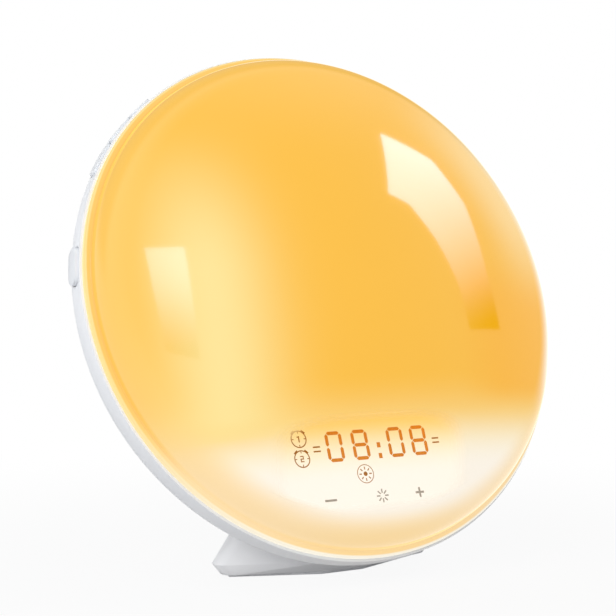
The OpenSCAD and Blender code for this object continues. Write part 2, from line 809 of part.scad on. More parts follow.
// Paper cone with a dust cap that bulges out through it
module speaker_cone() {
    color([0.16, 0.16, 0.17]) head() translate([0, speaker_y, 0]) {
        rotate_extrude() polygon([
            [cone_r, flange_z + 0.2], [cone_r, flange_z + 0.8], [cone_r - 1.8, flange_z + 0.9],
            [coil_out, cone_top], [coil_in, cone_top], [coil_in, cone_top - 0.7],
            [cone_r - 2, flange_z + 0.2]]);
        rotate_extrude() difference() {
            translate([0, cap_dome_z]) circle(r = cap_dome_r);
            translate([0, cap_dome_z]) circle(r = cap_dome_r - paper_t);
            translate([-20, -60]) square([20, 90]);
            translate([0, cone_top - 0.2]) square([20, 40]);
        }
    }
}

module voice_coil() {
    color([0.72, 0.42, 0.2]) head() translate([0, speaker_y, 0])
        tube(coil_out, coil_in, cone_top, cone_top + coil_len);
}

// ---------- head: power ----------

module dc_jack_body() {
    top = main_z - main_t;
    color([0.1, 0.1, 0.11]) head() translate([jack_pos[0], jack_pos[1], 0]) difference() {
        union() {
            bar(-jack_body[0] / 2, jack_body[0] / 2, -jack_body[1] / 2, jack_body[1] / 2,
                back_in + 0.2, top);
            translate([0, 0, -bowl_depth + 0.4]) cylinder(r = jack_collar_r, h = shell_wall);
        }
        translate([0, 0, -bowl_depth]) cylinder(r = jack_bore_r, h = 10);
    }
}

module dc_jack_pin() {
    color([0.8, 0.8, 0.82]) head() translate([jack_pos[0], jack_pos[1], -bowl_depth + 1.6]) {
        cylinder(r = jack_pin_r, h = 8.4);
    }
}

module cell_contacts() {
    color([0.82, 0.8, 0.74]) head() translate([cell_pos[0], cell_pos[1], 0]) {
        translate([0, 0, -bowl_depth + door_t + cell_t + 0.5]) bar(-7, 7, -2, 2, 0, 0.5);
    }
}

module coin_cell() {
    color([0.78, 0.79, 0.8]) head() translate([cell_pos[0], cell_pos[1], -bowl_depth + door_t + 0.3]) {
        cylinder(r = cell_r, h = cell_t * 0.7);
        translate([0, 0, cell_t * 0.7 - eps]) cylinder(r = cell_r - 1.2, h = cell_t * 0.3);
    }
}

module battery_door() {
    color([0.9, 0.9, 0.9]) head() translate([cell_pos[0], cell_pos[1], -bowl_depth]) {
        difference() {
            bar(-door[0] / 2, door[0] / 2, -door[1] / 2, door[1] / 2, 0, door_t);
            for (k = [-1 : 1]) bar(-5, 5, 6 + k * 1.8 - 0.35, 6 + k * 1.8 + 0.35, -1, 0.4);
        }
    }
}

// ---------- head: keys ----------

// A key of the given length, offset along the rim by at, sliding along its row's own axis
module key_cap(a, at, length, proud) {
    color([0.9, 0.91, 0.92]) head() {
        intersection() {
            rim(a) translate([0, at, 0]) rotate([0, 90, 0]) translate([0, 0, 60])
                linear_extrude(height = 40) stadium(length, key_w);
            tube(band_r + proud, flange_in, -12, 2);
        }
        intersection() {
            rim(a) translate([0, at, 0]) rotate([0, 90, 0]) translate([0, 0, 60])
                linear_extrude(height = 40) stadium(length - 0.2, key_w + 2 * flange_extra);
            tube(flange_out, flange_in, -12, -lip_t - 0.5);
        }
        intersection() {
            rim(a) translate([key_in_r, at, 0]) rotate([0, 90, 0]) cylinder(r = 1.9, h = 6);
            tube(flange_in + 0.5, 60, -12, 2);
        }
    }
}

module key_light() {
    key_cap(side_key_a, 0, side_key_len, key_proud);
}

module key_alarm_one() {
    key_cap(row_a, row_at[0], row_lens[0], row_proud);
}

module key_alarm_two() {
    key_cap(row_a, row_at[1], row_lens[1], row_proud);
}

module key_clock() {
    key_cap(row_a, row_at[2], row_lens[2], row_proud);
}

module plunger(a, at) {
    color([0.1, 0.1, 0.1]) head() rim(a) translate([switch_top - 1.2, at, 0]) rotate([0, 90, 0])
        cylinder(r = plunger_r, h = key_in_r - switch_top + 1.2);
}

module plunger_light() {
    plunger(side_key_a, 0);
}

module plunger_alarm_one() {
    plunger(row_a, row_at[0]);
}

module plunger_alarm_two() {
    plunger(row_a, row_at[1]);
}

module plunger_clock() {
    plunger(row_a, row_at[2]);
}

module switch_bodies() {
    half = switch_side / 2;
    color([0.15, 0.15, 0.16]) head()
        for (k = [[side_key_a, 0], [row_a, row_at[0]], [row_a, row_at[1]], [row_a, row_at[2]]])
            rim(k[0]) translate([0, k[1], 0]) difference() {
                bar(switch_top - switch_h, switch_top, -half, half, -half, half);
                translate([switch_top - 2, 0, 0]) rotate([0, 90, 0])
                    cylinder(r = plunger_r + 0.3, h = 4);
            }
}

module key_boards() {
    color([0.12, 0.4, 0.22]) head() for (k = key_rows) rim(k[0]) difference() {
        bar(key_board_r, key_board_r + key_board_t, -k[1], k[1], -key_board_w / 2, key_board_w / 2);
        for (s = [-1, 1]) translate([key_board_r - 1, s * (k[1] - board_screw_in), 0])
            rotate([0, 90, 0]) cylinder(r = screw_r + screw_gap, h = 5);
    }
}

module key_board_screws() {
    color([0.75, 0.75, 0.78]) head() for (k = key_rows, s = [-1, 1])
        rim(k[0]) translate([key_board_r + key_board_t, s * (k[1] - board_screw_in), 0])
            rotate([0, 90, 0]) screw(3.4);
}

// ---------- foot ----------

// Round corner posts of one level of the foot, each a thin disc, moved in by inset
module foot_level(front, side, rear, z, inset) {
    r = corner_r;
    for (s = [-1, 1], c = [front, side, rear])
        translate([s * (c[0] - r - inset), c[1] - head_front + (c[1] < 0 ? r + inset
            : c[1] > 8 ? -r - inset : 0), z]) cylinder(r = r, h = 0.01, $fn = 32);
}

module foot_solid(inset, bottom) {
    hull() {
        foot_level(foot_front, foot_side, foot_rear, bottom, foot_inset + inset);
        foot_level(foot_front, foot_side, foot_rear, foot_belt_h, inset);
        translate([0, 0, -inset]) for (s = [-1, 1], c = foot_top)
            translate([s * c[0], c[1] - head_front, foot_top_h]) cylinder(r = 2, h = 0.01, $fn = 16);
    }
}

module foot_shell() {
    color([0.9, 0.9, 0.9]) difference() {
        union() {
            difference() {
                foot_solid(0, base_z);
                foot_solid(foot_wall, base_z - 0.1);
            }
            intersection() {
                union() {
                    for (p = foot_screw_at) translate([p[0], p[1], base_z + base_t])
                        rotate([0, 0, 135]) cylinder(r = boss_r, h = 40);
                    for (s = [-1, 1]) translate([s * neck_screw_x, neck_screw_y, neck_seat_h - 2])
                        cylinder(r = neck_boss_r, h = 30);
                    for (s = [-1, 1]) translate([s * neck_screw_x, neck_screw_y, neck_seat_h - 2])
                        bar(-0.8, 0.8, -18, 18, 0, 5);
                }
                foot_solid(foot_wall / 2, base_z);
            }
        }
        head() rotate_extrude() polygon(shell_steps(seat_gap, -lip_t));
        for (p = foot_screw_at) translate([p[0], p[1], 0]) cylinder(r = pilot_r, h = base_z + base_t + 7);
        for (s = [-1, 1]) translate([s * neck_screw_x, neck_screw_y, 0]) {
            cylinder(r = screw_r + screw_gap, h = 40);
            translate([0, 0, -1]) cylinder(r = head_r + 0.3, h = neck_seat_h + 1);
        }
    }
}

module foot_base() {
    color([0.86, 0.86, 0.86]) difference() {
        intersection() {
            foot_solid(foot_wall + fit, base_z - 0.1);
            bar(-60, 60, -60, 60, base_z, base_z + base_t);
        }
        for (p = foot_screw_at) translate([p[0], p[1], 0]) {
            cylinder(r = screw_r + screw_gap, h = 9);
            cylinder(r = head_r + screw_gap, h = screw_seat_h);
        }
    }
}

module foot_pad() {
    color([0.8, 0.8, 0.8]) linear_extrude(height = pad_t) polygon(pad_outline());
}

// Corners of the pad, a little inside the foot's bottom edge
function pad_outline() = let (
        i = foot_inset + 1.4, f = foot_front - [i, -i], s = foot_side - [i + 1, 0],
        b = foot_rear - [i, i])
    [for (c = [f, s, b]) [c[0], c[1] - head_front], for (c = [b, s, f]) [-c[0], c[1] - head_front]];

module foot_screws() {
    color([0.75, 0.75, 0.78]) for (p = foot_screw_at) translate([p[0], p[1], screw_seat_h])
        mirror([0, 0, 1]) screw(6);
}

module neck_screws() {
    color([0.75, 0.75, 0.78])
        for (s = [-1, 1]) translate([s * neck_screw_x, neck_screw_y, neck_seat_h])
            mirror([0, 0, 1]) screw(neck_tip_h - neck_seat_h);
}

// ---------- head: leads that the housings hold ----------

module lead_pair(points, side) {
    wire(points);
    wire([for (p = points) p + side]);
}

// The last two points of a lead, from above its socket down to the socket's floor
function into(p) = [[p[0] - 0.75, p[1], main_z + 6.6], [p[0] - 0.75, p[1], main_z + 1.2]];

// A place in a key board's own frame, in head coordinates
function rim_point(a, x, y, z) = [x * cos(a) - y * sin(a), x * sin(a) + y * cos(a), key_z + z];

module led_leads() {
    y = led_board_y - led_ring_r;
    color([0.7, 0.1, 0.1]) head() lead_pair(concat([[-0.75, y - 0.5, pan_z], [-0.75, y - 0.5, -15],
        [-4, -19, -16.6], [-9.5, -12.4, -16.9]], into(led_socket - [0, 0.5])), [1.3, 1, 0]);
}

module speaker_leads() {
    color([0.15, 0.15, 0.15]) head() lead_pair(concat([[10.2, 4.3, flange_z + flange_t],
        [10.3, 4.1, -25.5], [13, 1.8, -20.4], [22, -5.6, -17.2]], into(speaker_socket)), [1.5, 0, 0]);
}

module key_leads() {
    a = side_key_a;
    r = key_board_r - lead_gap;
    color([0.2, 0.3, 0.6]) head() {
        lead_pair(concat([rim_point(a, r, 0.8, -2.8), rim_point(a, r - 1.5, 0.8, -2.8),
            rim_point(a, r - 2, 0.8, -5), rim_point(a, r - 2.1, 0.8, -9.4), rim_point(a, r - 4.8, 0.8, -12),
            [-56, -2, -18.8], [-42, -15, -17.6]], into(key_socket + [0, 0.74])), [-0.23, -1.48, 0]);
        // From the row's board to the single key's board
        lead_pair([rim_point(row_a, r, 16.8, -2.8), rim_point(row_a, r - 2.5, 16.8, -2.8),
            rim_point(row_a, r - 6.2, 20.6, -3), rim_point(a, r - 6.2, -10.6, -3),
            rim_point(a, r - 5.4, -5.4, -3), rim_point(a, r - 2.5, -3.4, -2.8),
            rim_point(a, r, -3.4, -2.8)], [0, 0, 1.6]);
    }
}

module display_leads() {
    x = lead_hole[0] - 0.8;
    color([0.75, 0.75, 0.75]) head() lead_pair(concat([[x, -53, board_z], [x, -52.8, -5],
        [x, lead_hole[1] - 0.6, -11.4], [x, lead_hole[1], -14.4]], into(display_socket)), [1.5, 0, 0]);
}

front_lens();
rear_shell();
speaker_grille();
reflector_pan();
display_tower();
led_board();
led_chips_warm();
led_chips_colour();
led_board_screws();
pan_screws();
display_overlay();
display_housing();
digit_segments();
icon_inserts();
touch_marks();
display_leds();
display_board();
display_screws();
touch_springs();
main_board();
main_board_screws();
ic_packages();
capacitors();
board_sockets();
speaker_frame();
speaker_magnet();
speaker_gasket();
speaker_screws();
speaker_cone();
voice_coil();
dc_jack_body();
dc_jack_pin();
key_boards();
key_board_screws();
switch_bodies();
key_light();
key_alarm_one();
key_alarm_two();
key_clock();
plunger_light();
plunger_alarm_one();
plunger_alarm_two();
plunger_clock();
cell_contacts();
coin_cell();
battery_door();
foot_shell();
foot_base();
foot_pad();
foot_screws();
neck_screws();
led_leads();
speaker_leads();
key_leads();
display_leads();
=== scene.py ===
"""Looks of a sunrise alarm clock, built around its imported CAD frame.

A tilted disc with a glowing opal lens sits in a satin white shell, with one oval
key and a row of three on its left rim, and stands on a flared foot. Sizes are in
metres in the row frame: +Z up, -Y front, X right, origin under the foot pad.
"""

import json
import logging
import math
from dataclasses import dataclass, field
from enum import Enum
from typing import Sequence, Union

import bpy
from mathutils import Matrix, Vector


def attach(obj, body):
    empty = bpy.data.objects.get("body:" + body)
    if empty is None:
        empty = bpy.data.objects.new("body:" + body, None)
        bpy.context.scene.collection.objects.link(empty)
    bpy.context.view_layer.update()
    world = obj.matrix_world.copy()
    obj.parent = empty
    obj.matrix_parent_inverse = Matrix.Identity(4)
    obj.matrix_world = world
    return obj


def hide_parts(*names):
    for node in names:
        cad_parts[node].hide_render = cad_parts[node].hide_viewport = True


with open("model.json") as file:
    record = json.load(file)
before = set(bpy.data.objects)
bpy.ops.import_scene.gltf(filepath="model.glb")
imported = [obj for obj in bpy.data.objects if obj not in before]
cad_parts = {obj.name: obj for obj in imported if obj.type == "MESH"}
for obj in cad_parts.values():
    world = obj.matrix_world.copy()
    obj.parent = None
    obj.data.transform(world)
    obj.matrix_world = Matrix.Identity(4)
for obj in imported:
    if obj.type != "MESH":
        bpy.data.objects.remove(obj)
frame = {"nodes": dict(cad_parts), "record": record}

LOG = logging.getLogger("clock")
MM = 0.001
MERGE_GAP = 2e-6
FLAT_ANGLE = math.radians(0.3)
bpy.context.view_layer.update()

HEAD_CENTRE = Vector((0.0, -14.5, 90.5)) * MM
HEAD_TURN = math.radians(69.0)
HEAD = Matrix.Translation(HEAD_CENTRE) @ Matrix.Rotation(HEAD_TURN, 4, "X")

# The lens mirrors a little of the white room. A colour that it is to show is given off less
# that white, and raised by the share of its own light that comes through.
MIRRORED = 0.055
LIT_SHARE = 0.92

Socket = bpy.types.NodeSocket
Node = bpy.types.Node
Tree = bpy.types.NodeTree
Material = bpy.types.Material
Piece = bpy.types.Object
Value = Union[float, Socket]
Pair = tuple[float, float]
Colour = tuple[float, float, float]
Screen = tuple[int, int, int]


class Body(Enum):
    """The moving bodies of the frame that pieces ride on."""

    CASE = "case"
    LIGHT_KEY = "light_key"
    ALARM_ONE_KEY = "alarm_one_key"
    ALARM_TWO_KEY = "alarm_two_key"
    CLOCK_KEY = "clock_key"
    COVER = "battery_cover"


class Blend(Enum):
    """How one colour is laid over another."""

    MIX = "MIX"
    LIGHTEN = "LIGHTEN"
    MULTIPLY = "MULTIPLY"


def tint(red: int, green: int, blue: int) -> Colour:
    """Turns a screen colour into the linear values that shaders take.

    Args:
        red: Red, 0 to 255.
        green: Green, 0 to 255.
        blue: Blue, 0 to 255.

    Returns:
        The linear red, green and blue.
    """
    def linear(level: int) -> float:
        """Returns one channel's linear value."""
        c = level / 255
        return c / 12.92 if c <= 0.04045 else ((c + 0.055) / 1.055) ** 2.4

    return (linear(red), linear(green), linear(blue))


def lit(red: int, green: int, blue: int) -> Colour:
    """Returns the light that a mirroring surface gives off to show a screen colour."""
    return tuple(max(0.0, (level - MIRRORED) / LIT_SHARE)
                 for level in tint(red, green, blue))


# ---------- modelling by hand ----------


def pick_only(obj: Piece) -> None:
    """Selects one object alone and makes it active.

    Args:
        obj: The object to select.
    """
    bpy.ops.object.select_all(action="DESELECT")
    obj.select_set(True)
    bpy.context.view_layer.objects.active = obj


def edit(on: bool) -> None:
    """Enters or leaves edit mode on the active object."""
    bpy.ops.object.mode_set(mode="EDIT" if on else "OBJECT")


def settle(obj: Piece, place: Matrix = Matrix.Identity(4)) -> None:
    """Moves a piece to its place and puts that place in its mesh.

    Args:
        obj: The piece.
        place: Its place, over the one that it has.
    """
    pick_only(obj)
    obj.matrix_world = place @ obj.matrix_world
    bpy.ops.object.transform_apply(location=True, rotation=True, scale=True)


def spin_profile(name: str, points: Sequence[Pair], steps: int) -> Piece:
    """Models a turned piece: a line drawn point by point, then spun round Z.

    Args:
        name: Name of the new piece.
        points: Radius and height of each point of the section, in millimetres.
        steps: Number of steps of the full turn.

    Returns:
        The new piece, in the head's own frame.
    """
    bpy.ops.object.select_all(action="DESELECT")
    start = Vector((points[0][0], 0, points[0][1])) * MM
    bpy.ops.mesh.primitive_plane_add(size=MM, location=start)
    obj = bpy.context.object
    obj.name = obj.data.name = name
    settle(obj)
    edit(True)
    bpy.ops.mesh.select_mode(type="VERT")
    bpy.ops.mesh.select_all(action="SELECT")
    bpy.ops.mesh.merge(type="CENTER")
    for (r0, z0), (r1, z1) in zip(points, points[1:]):
        bpy.ops.mesh.extrude_region_move(
            TRANSFORM_OT_translate={"value": ((r1 - r0) * MM, 0, (z1 - z0) * MM)})
    bpy.ops.mesh.select_all(action="SELECT")
    bpy.ops.mesh.spin(steps=steps, angle=math.tau, center=(0, 0, 0), axis=(0, 0, 1))
    bpy.ops.mesh.select_all(action="SELECT")
    bpy.ops.mesh.remove_doubles(threshold=MERGE_GAP)
    bpy.ops.mesh.normals_make_consistent(inside=False)
    edit(False)
    return obj


def block(low: Sequence[float], high: Sequence[float]) -> Piece:
    """Adds a cutter block between two corners.

    Args:
        low: Its lower corner, in millimetres.
        high: Its upper corner, in millimetres.

    Returns:
        The block.
    """
    bpy.ops.object.select_all(action="DESELECT")
    middle = [(a + b) / 2 * MM for a, b in zip(low, high)]
    bpy.ops.mesh.primitive_cube_add(size=1, location=middle)
    obj = bpy.context.object
    obj.scale = [(b - a) * MM for a, b in zip(low, high)]
    bpy.ops.object.transform_apply(location=True, rotation=True, scale=True)
    return obj


def cut(obj: Piece, cutter: Piece) -> None:
    """Cuts one mesh out of another and deletes the cutter.

    Args:
        obj: The piece to cut.
        cutter: What is cut out of it.
    """
    pick_only(obj)
    tool = obj.modifiers.new("cut", "BOOLEAN")
    tool.operation, tool.solver, tool.object = "DIFFERENCE", "EXACT", cutter
    bpy.ops.object.modifier_apply(modifier=tool.name)
    bpy.data.objects.remove(cutter, do_unlink=True)


def smooth(obj: Piece, degrees: float = 32.0) -> None:
    """Shades a piece smooth, up to an angle between faces."""
    pick_only(obj)
    bpy.ops.object.shade_smooth_by_angle(angle=math.radians(degrees))


def refined_copy(node: str, name: str, edge: float, angle: float = 34.0) -> Piece:
    """Copies a CAD node's mesh, merges it and rounds its sharp edges.

    Args:
        node: The CAD node to copy.
        name: Name of the new piece.
        edge: Width of the rounding, in millimetres; 0 leaves edges sharp.
        angle: The smallest angle between faces that is rounded, in degrees.

    Returns:
        The refined piece.
    """
    source = frame["nodes"][node]
    obj = bpy.data.objects.new(name, source.data.copy())
    obj.data.name = name
    bpy.context.scene.collection.objects.link(obj)
    pick_only(obj)
    bpy.ops.mesh.customdata_custom_splitnormals_clear()
    edit(True)
    bpy.ops.mesh.select_all(action="SELECT")
    bpy.ops.mesh.remove_doubles(threshold=MERGE_GAP)
    bpy.ops.mesh.dissolve_limited(angle_limit=FLAT_ANGLE)
    edit(False)
    if edge:
        rounding = obj.modifiers.new("rounding", "BEVEL")
        rounding.limit_method, rounding.angle_limit = "ANGLE", math.radians(angle)
        rounding.width, rounding.segments = edge * MM, 2
        rounding.use_clamp_overlap = True
        bpy.ops.object.modifier_apply(modifier=rounding.name)
    smooth(obj)
    return obj


# ---------- node trees ----------


class Sheet:
    """A node tree that is being filled in, with short calls for its usual steps."""

    def __init__(self, tree: Tree) -> None:
        """Keeps the tree to fill in."""
        self.tree = tree

    def add(self, kind: str, **settings: object) -> Node:
        """Adds a node.

        Args:
            kind: Its type.
            settings: Its properties, by name.

        Returns:
            The node.
        """
        node = self.tree.nodes.new(kind)
        for key, value in settings.items():
            setattr(node, key, value)
        return node

    def feed(self, socket: Socket, value: Union[Value, Colour]) -> None:
        """Links a socket to another, or sets its plain value.

        Args:
            socket: The input to feed.
            value: A socket, a number or a colour.
        """
        if isinstance(value, Socket):
            self.tree.links.new(value, socket)
        elif isinstance(value, (int, float)):
            socket.default_value = value
        else:
            socket.default_value = (*value, 1.0)

    def fill(self, node: Node, values: dict[str, Union[Value, Colour]]) -> None:
        """Feeds several inputs of a node by their names."""
        for key, value in values.items():
            self.feed(node.inputs[key], value)

    def math(self, step: str, a: Value, b: Value = 0.0) -> Socket:
        """Adds one step of arithmetic.

        Args:
            step: The operation.
            a: Its first value.
            b: Its second value, where it takes one.

        Returns:
            The result.
        """
        node = self.add("ShaderNodeMath", operation=step)
        self.feed(node.inputs[0], a)
        self.feed(node.inputs[1], b)
        return node.outputs[0]

    def times(self, first: Value, *others: Value) -> Value:
        """Multiplies values.

        Args:
            first: The first value.
            others: The others.

        Returns:
            Their product.
        """
        result = first
        for other in others:
            result = self.math("MULTIPLY", result, other)
        return result

    def span(self, a: Value, b: Value) -> Socket:
        """Returns the straight distance over two sides at a right angle."""
        return self.math("SQRT", self.math("ADD", self.times(a, a), self.times(b, b)))

    def ease(self, value: Value, low: float, high: float, out_low: float = 0.0,
             out_high: float = 1.0) -> Socket:
        """Maps a range smoothly to another.

        Args:
            value: What is mapped.
            low: The value that gives out_low.
            high: The value that gives out_high.
            out_low: Result at low.
            out_high: Result at high.

        Returns:
            The mapped value.
        """
        node = self.add("ShaderNodeMapRange", interpolation_type="SMOOTHSTEP")
        self.fill(node, {"Value": value, "From Min": low, "From Max": high,
                         "To Min": out_low, "To Max": out_high})
        return node.outputs["Result"]

    def bell(self, value: Value, middle: float, width: float) -> Socket:
        """Returns a soft hump that is 1 at middle and fades over width."""
        off = self.math("DIVIDE", self.math("SUBTRACT", value, middle), width)
        return self.math("EXPONENT", self.times(off, off, -1.0))

    def mix(self, share: Value, below: Union[Socket, Colour], above: Union[Socket, Colour],
            blend: Blend = Blend.MIX) -> Socket:
        """Lays one colour over another.

        Args:
            share: How much of the upper colour shows, 0 to 1.
            below: The lower colour.
            above: The upper colour.
            blend: How it is laid.

        Returns:
            The mixed colour.
        """
        node = self.add("ShaderNodeMix", data_type="RGBA", blend_type=blend.value)
        self.feed(node.inputs["Factor"], share)
        self.feed(node.inputs[6], below)
        self.feed(node.inputs[7], above)
        return node.outputs[2]

    def noise(self, place: Socket, scale: Value, detail: float) -> Socket:
        """Adds noise.

        Args:
            place: Where it is read.
            scale: Its scale, in cycles per metre.
            detail: How many finer layers it has.

        Returns:
            The noise, 0 to 1.
        """
        node = self.add("ShaderNodeTexNoise")
        self.fill(node, {"Vector": place, "Scale": scale, "Detail": detail})
        return node.outputs["Fac"]

    def here(self) -> Socket:
        """Returns the point on the object, in metres in the row frame."""
        return self.add("ShaderNodeTexCoord").outputs["Object"]

    def split(self, point: Socket) -> tuple[Socket, Socket, Socket]:
        """Returns the three numbers of a point."""
        parts = self.add("ShaderNodeSeparateXYZ")
        self.feed(parts.inputs[0], point)
        return tuple(parts.outputs)

    def on_head(self) -> tuple[Socket, Socket, Socket]:
        """Finds the point's place on the disc.

        Returns:
            Its right, up and out places, in millimetres.
        """
        turn = self.add("ShaderNodeMapping", vector_type="TEXTURE")
        self.feed(turn.inputs["Vector"], self.here())
        turn.inputs["Location"].default_value = HEAD_CENTRE
        turn.inputs["Rotation"].default_value = (HEAD_TURN, 0, 0)
        turn.inputs["Scale"].default_value = (MM, MM, MM)
        return self.split(turn.outputs[0])

    def camera_or_mirror(self, *rays: str) -> Socket:
        """Tells whether the camera sees the point, straight or by other rays.

        Args:
            rays: The other rays, by the names of their outputs.

        Returns:
            1 where it does, or else 0.
        """
        path = self.add("ShaderNodeLightPath")
        seen = path.outputs["Is Camera Ray"]
        for ray in rays:
            seen = self.math("MAXIMUM", seen, path.outputs[ray])
        return seen


def new_group(name: str, inputs: dict[str, float],
              outputs: Sequence[str]) -> tuple[Sheet, Node, Node]:
    """Starts a shared shader group.

    Args:
        name: Name of the group.
        inputs: Named number inputs with their usual values.
        outputs: Named outputs; one that starts with Colour is a colour.

    Returns:
        The sheet of the group, its input node and its output node.
    """
    tree = bpy.data.node_groups.new(name, "ShaderNodeTree")
    for key, value in inputs.items():
        socket = tree.interface.new_socket(key, in_out="INPUT", socket_type="NodeSocketFloat")
        socket.default_value = value
    for key in outputs:
        kind = "NodeSocketColor" if key.startswith("Colour") else "NodeSocketFloat"
        tree.interface.new_socket(key, in_out="OUTPUT", socket_type=kind)
    sheet = Sheet(tree)
    return sheet, sheet.add("NodeGroupInput"), sheet.add("NodeGroupOutput")


def wander(sheet: Sheet, gloss: Value, pattern: Socket, spread: Value) -> Socket:
    """Returns a roughness that follows a pattern a little to both sides."""
    return sheet.math("ADD", gloss, sheet.times(sheet.math("SUBTRACT", pattern, 0.5), spread))


def grain_group() -> Tree:
    """Builds the fine grain of a moulded surface.

    Returns:
        The group, with its height, gloss and tone.
    """
    sheet, given, made = new_group("moulded_grain",
                                   {"Scale": 2600.0, "Gloss": 0.35, "Spread": 0.06},
                                   ("Height", "Roughness", "Tone"))
    spot = sheet.here()
    fine = sheet.noise(spot, given.outputs["Scale"], 2.0)
    broad = sheet.noise(spot, 34.0, 4.0)
    gloss = wander(sheet, given.outputs["Gloss"], broad, given.outputs["Spread"])
    sheet.fill(made, {"Height": fine, "Roughness": gloss, "Tone": broad})
    return sheet.tree


def brushed_group() -> Tree:
    """Builds the drawn streaks of sheet and turned metal.

    Returns:
        The group, with its height, gloss and tone.
    """
    sheet, given, made = new_group("drawn_metal", {"Scale": 900.0, "Gloss": 0.3},
                                   ("Height", "Roughness", "Tone"))
    stretch = sheet.add("ShaderNodeMapping")
    sheet.feed(stretch.inputs["Vector"], sheet.here())
    stretch.inputs["Scale"].default_value = (1.0, 0.12, 1.0)
    streak = sheet.noise(stretch.outputs[0], given.outputs["Scale"], 3.0)
    gloss = wander(sheet, given.outputs["Gloss"], streak, 0.18)
    sheet.fill(made, {"Height": streak, "Roughness": gloss, "Tone": streak})
    return sheet.tree


class Place(Enum):
    """The measures on the disc, in millimetres, that its glow is painted by."""

    RIGHT = "right of its middle"
    UP = "up from its middle"
    RADIUS = "out from its middle"
    ACROSS = "towards its lower right"


Places = dict[Place, Socket]


@dataclass(frozen=True)
class Fade:
    """A soft limit of a patch of light on the disc.

    Args:
        place: The measure that it goes by.
        start: Where the patch is out.
        full: Where it is strongest.
        most: How strong it is there.
    """

    place: Place
    start: float
    full: float
    most: float = 1.0

    def share(self, sheet: Sheet, places: Places) -> Socket:
        """Returns how much of the patch the limit lets show."""
        return sheet.ease(places[self.place], self.start, self.full, 0.0, self.most)


@dataclass(frozen=True)
class Ridge:
    """A soft hump of light on the disc.

    Args:
        place: The measure that it goes by.
        middle: Where it is strongest.
        width: How far it spreads.
    """

    place: Place
    middle: float
    width: float

    def share(self, sheet: Sheet, places: Places) -> Socket:
        """Returns how much of the patch the hump lets show."""
        return sheet.bell(places[self.place], self.middle, self.width)


@dataclass(frozen=True)
class Patch:
    """A patch of light on the disc, as strong as the product of its limits.

    Args:
        colour: Its screen colour.
        limits: Its limits.
        blend: How it is laid over the glow below it.
    """

    colour: Screen
    limits: tuple[Union[Fade, Ridge], ...]
    blend: Blend = Blend.MIX

    def lay(self, sheet: Sheet, below: Union[Socket, Colour], places: Places) -> Socket:
        """Returns the glow with the patch laid over it."""
        share = sheet.times(*(limit.share(sheet, places) for limit in self.limits))
        return sheet.mix(share, below, lit(*self.colour), self.blend)


HONEY = Patch((253, 250, 198), (Fade(Place.UP, -32.0, -75.0),))
CREAM_POOL = Patch((255, 247, 234), (Fade(Place.UP, -44.0, -64.0),))
LOW_EDGE = Patch((254, 224, 167), (Fade(Place.UP, -73.0, -86.0),))
TOP_VEIL = Patch((253, 198, 94), (Fade(Place.UP, 39.0, 90.0),))
BEAM = Patch((252, 227, 154), (Ridge(Place.RIGHT, -54.0, 19.0), Fade(Place.UP, 62.0, 0.0),
                               Fade(Place.UP, -58.0, -42.0)), Blend.LIGHTEN)
DEEP_SIDE = Patch((252, 186, 65), (Fade(Place.RIGHT, 26.0, 52.0), Fade(Place.UP, -46.0, -36.0),
                                   Fade(Place.UP, 10.0, -10.0)))
SHOULDER = Patch((253, 214, 138), (Fade(Place.RADIUS, 74.0, 84.5, 0.4),))
LOWER_RIM = Patch((254, 220, 160), (Fade(Place.RADIUS, 74.0, 84.0),
                                    Fade(Place.UP, -38.0, -58.0, 0.7)))
HAZE = Patch((254, 228, 172), (Fade(Place.RADIUS, 52.0, 76.0),
                               Fade(Place.ACROSS, -15.0, 40.0, 0.6),
                               Fade(Place.UP, -15.0, 25.0)))
# Painted highlight: a near-white band laid into the glow along the lower right of the dome's
# edge, where the rim catches light.
PAINTED_RIM_HIGHLIGHT = Patch((255, 252, 238), (Fade(Place.RADIUS, 75.0, 82.5),
                                     Fade(Place.ACROSS, 10.0, 60.0),
                                     Fade(Place.UP, -48.0, -25.0)))
# Painted shade: a darker orange line in the crease where the dome meets the lip.
ROOT_CREASE_SHADE = Patch((238, 172, 88), (Ridge(Place.RADIUS, 84.9, 0.3),
                                   Fade(Place.ACROSS, 30.0, -10.0, 0.35),
                                   Fade(Place.UP, -60.0, -45.0)))


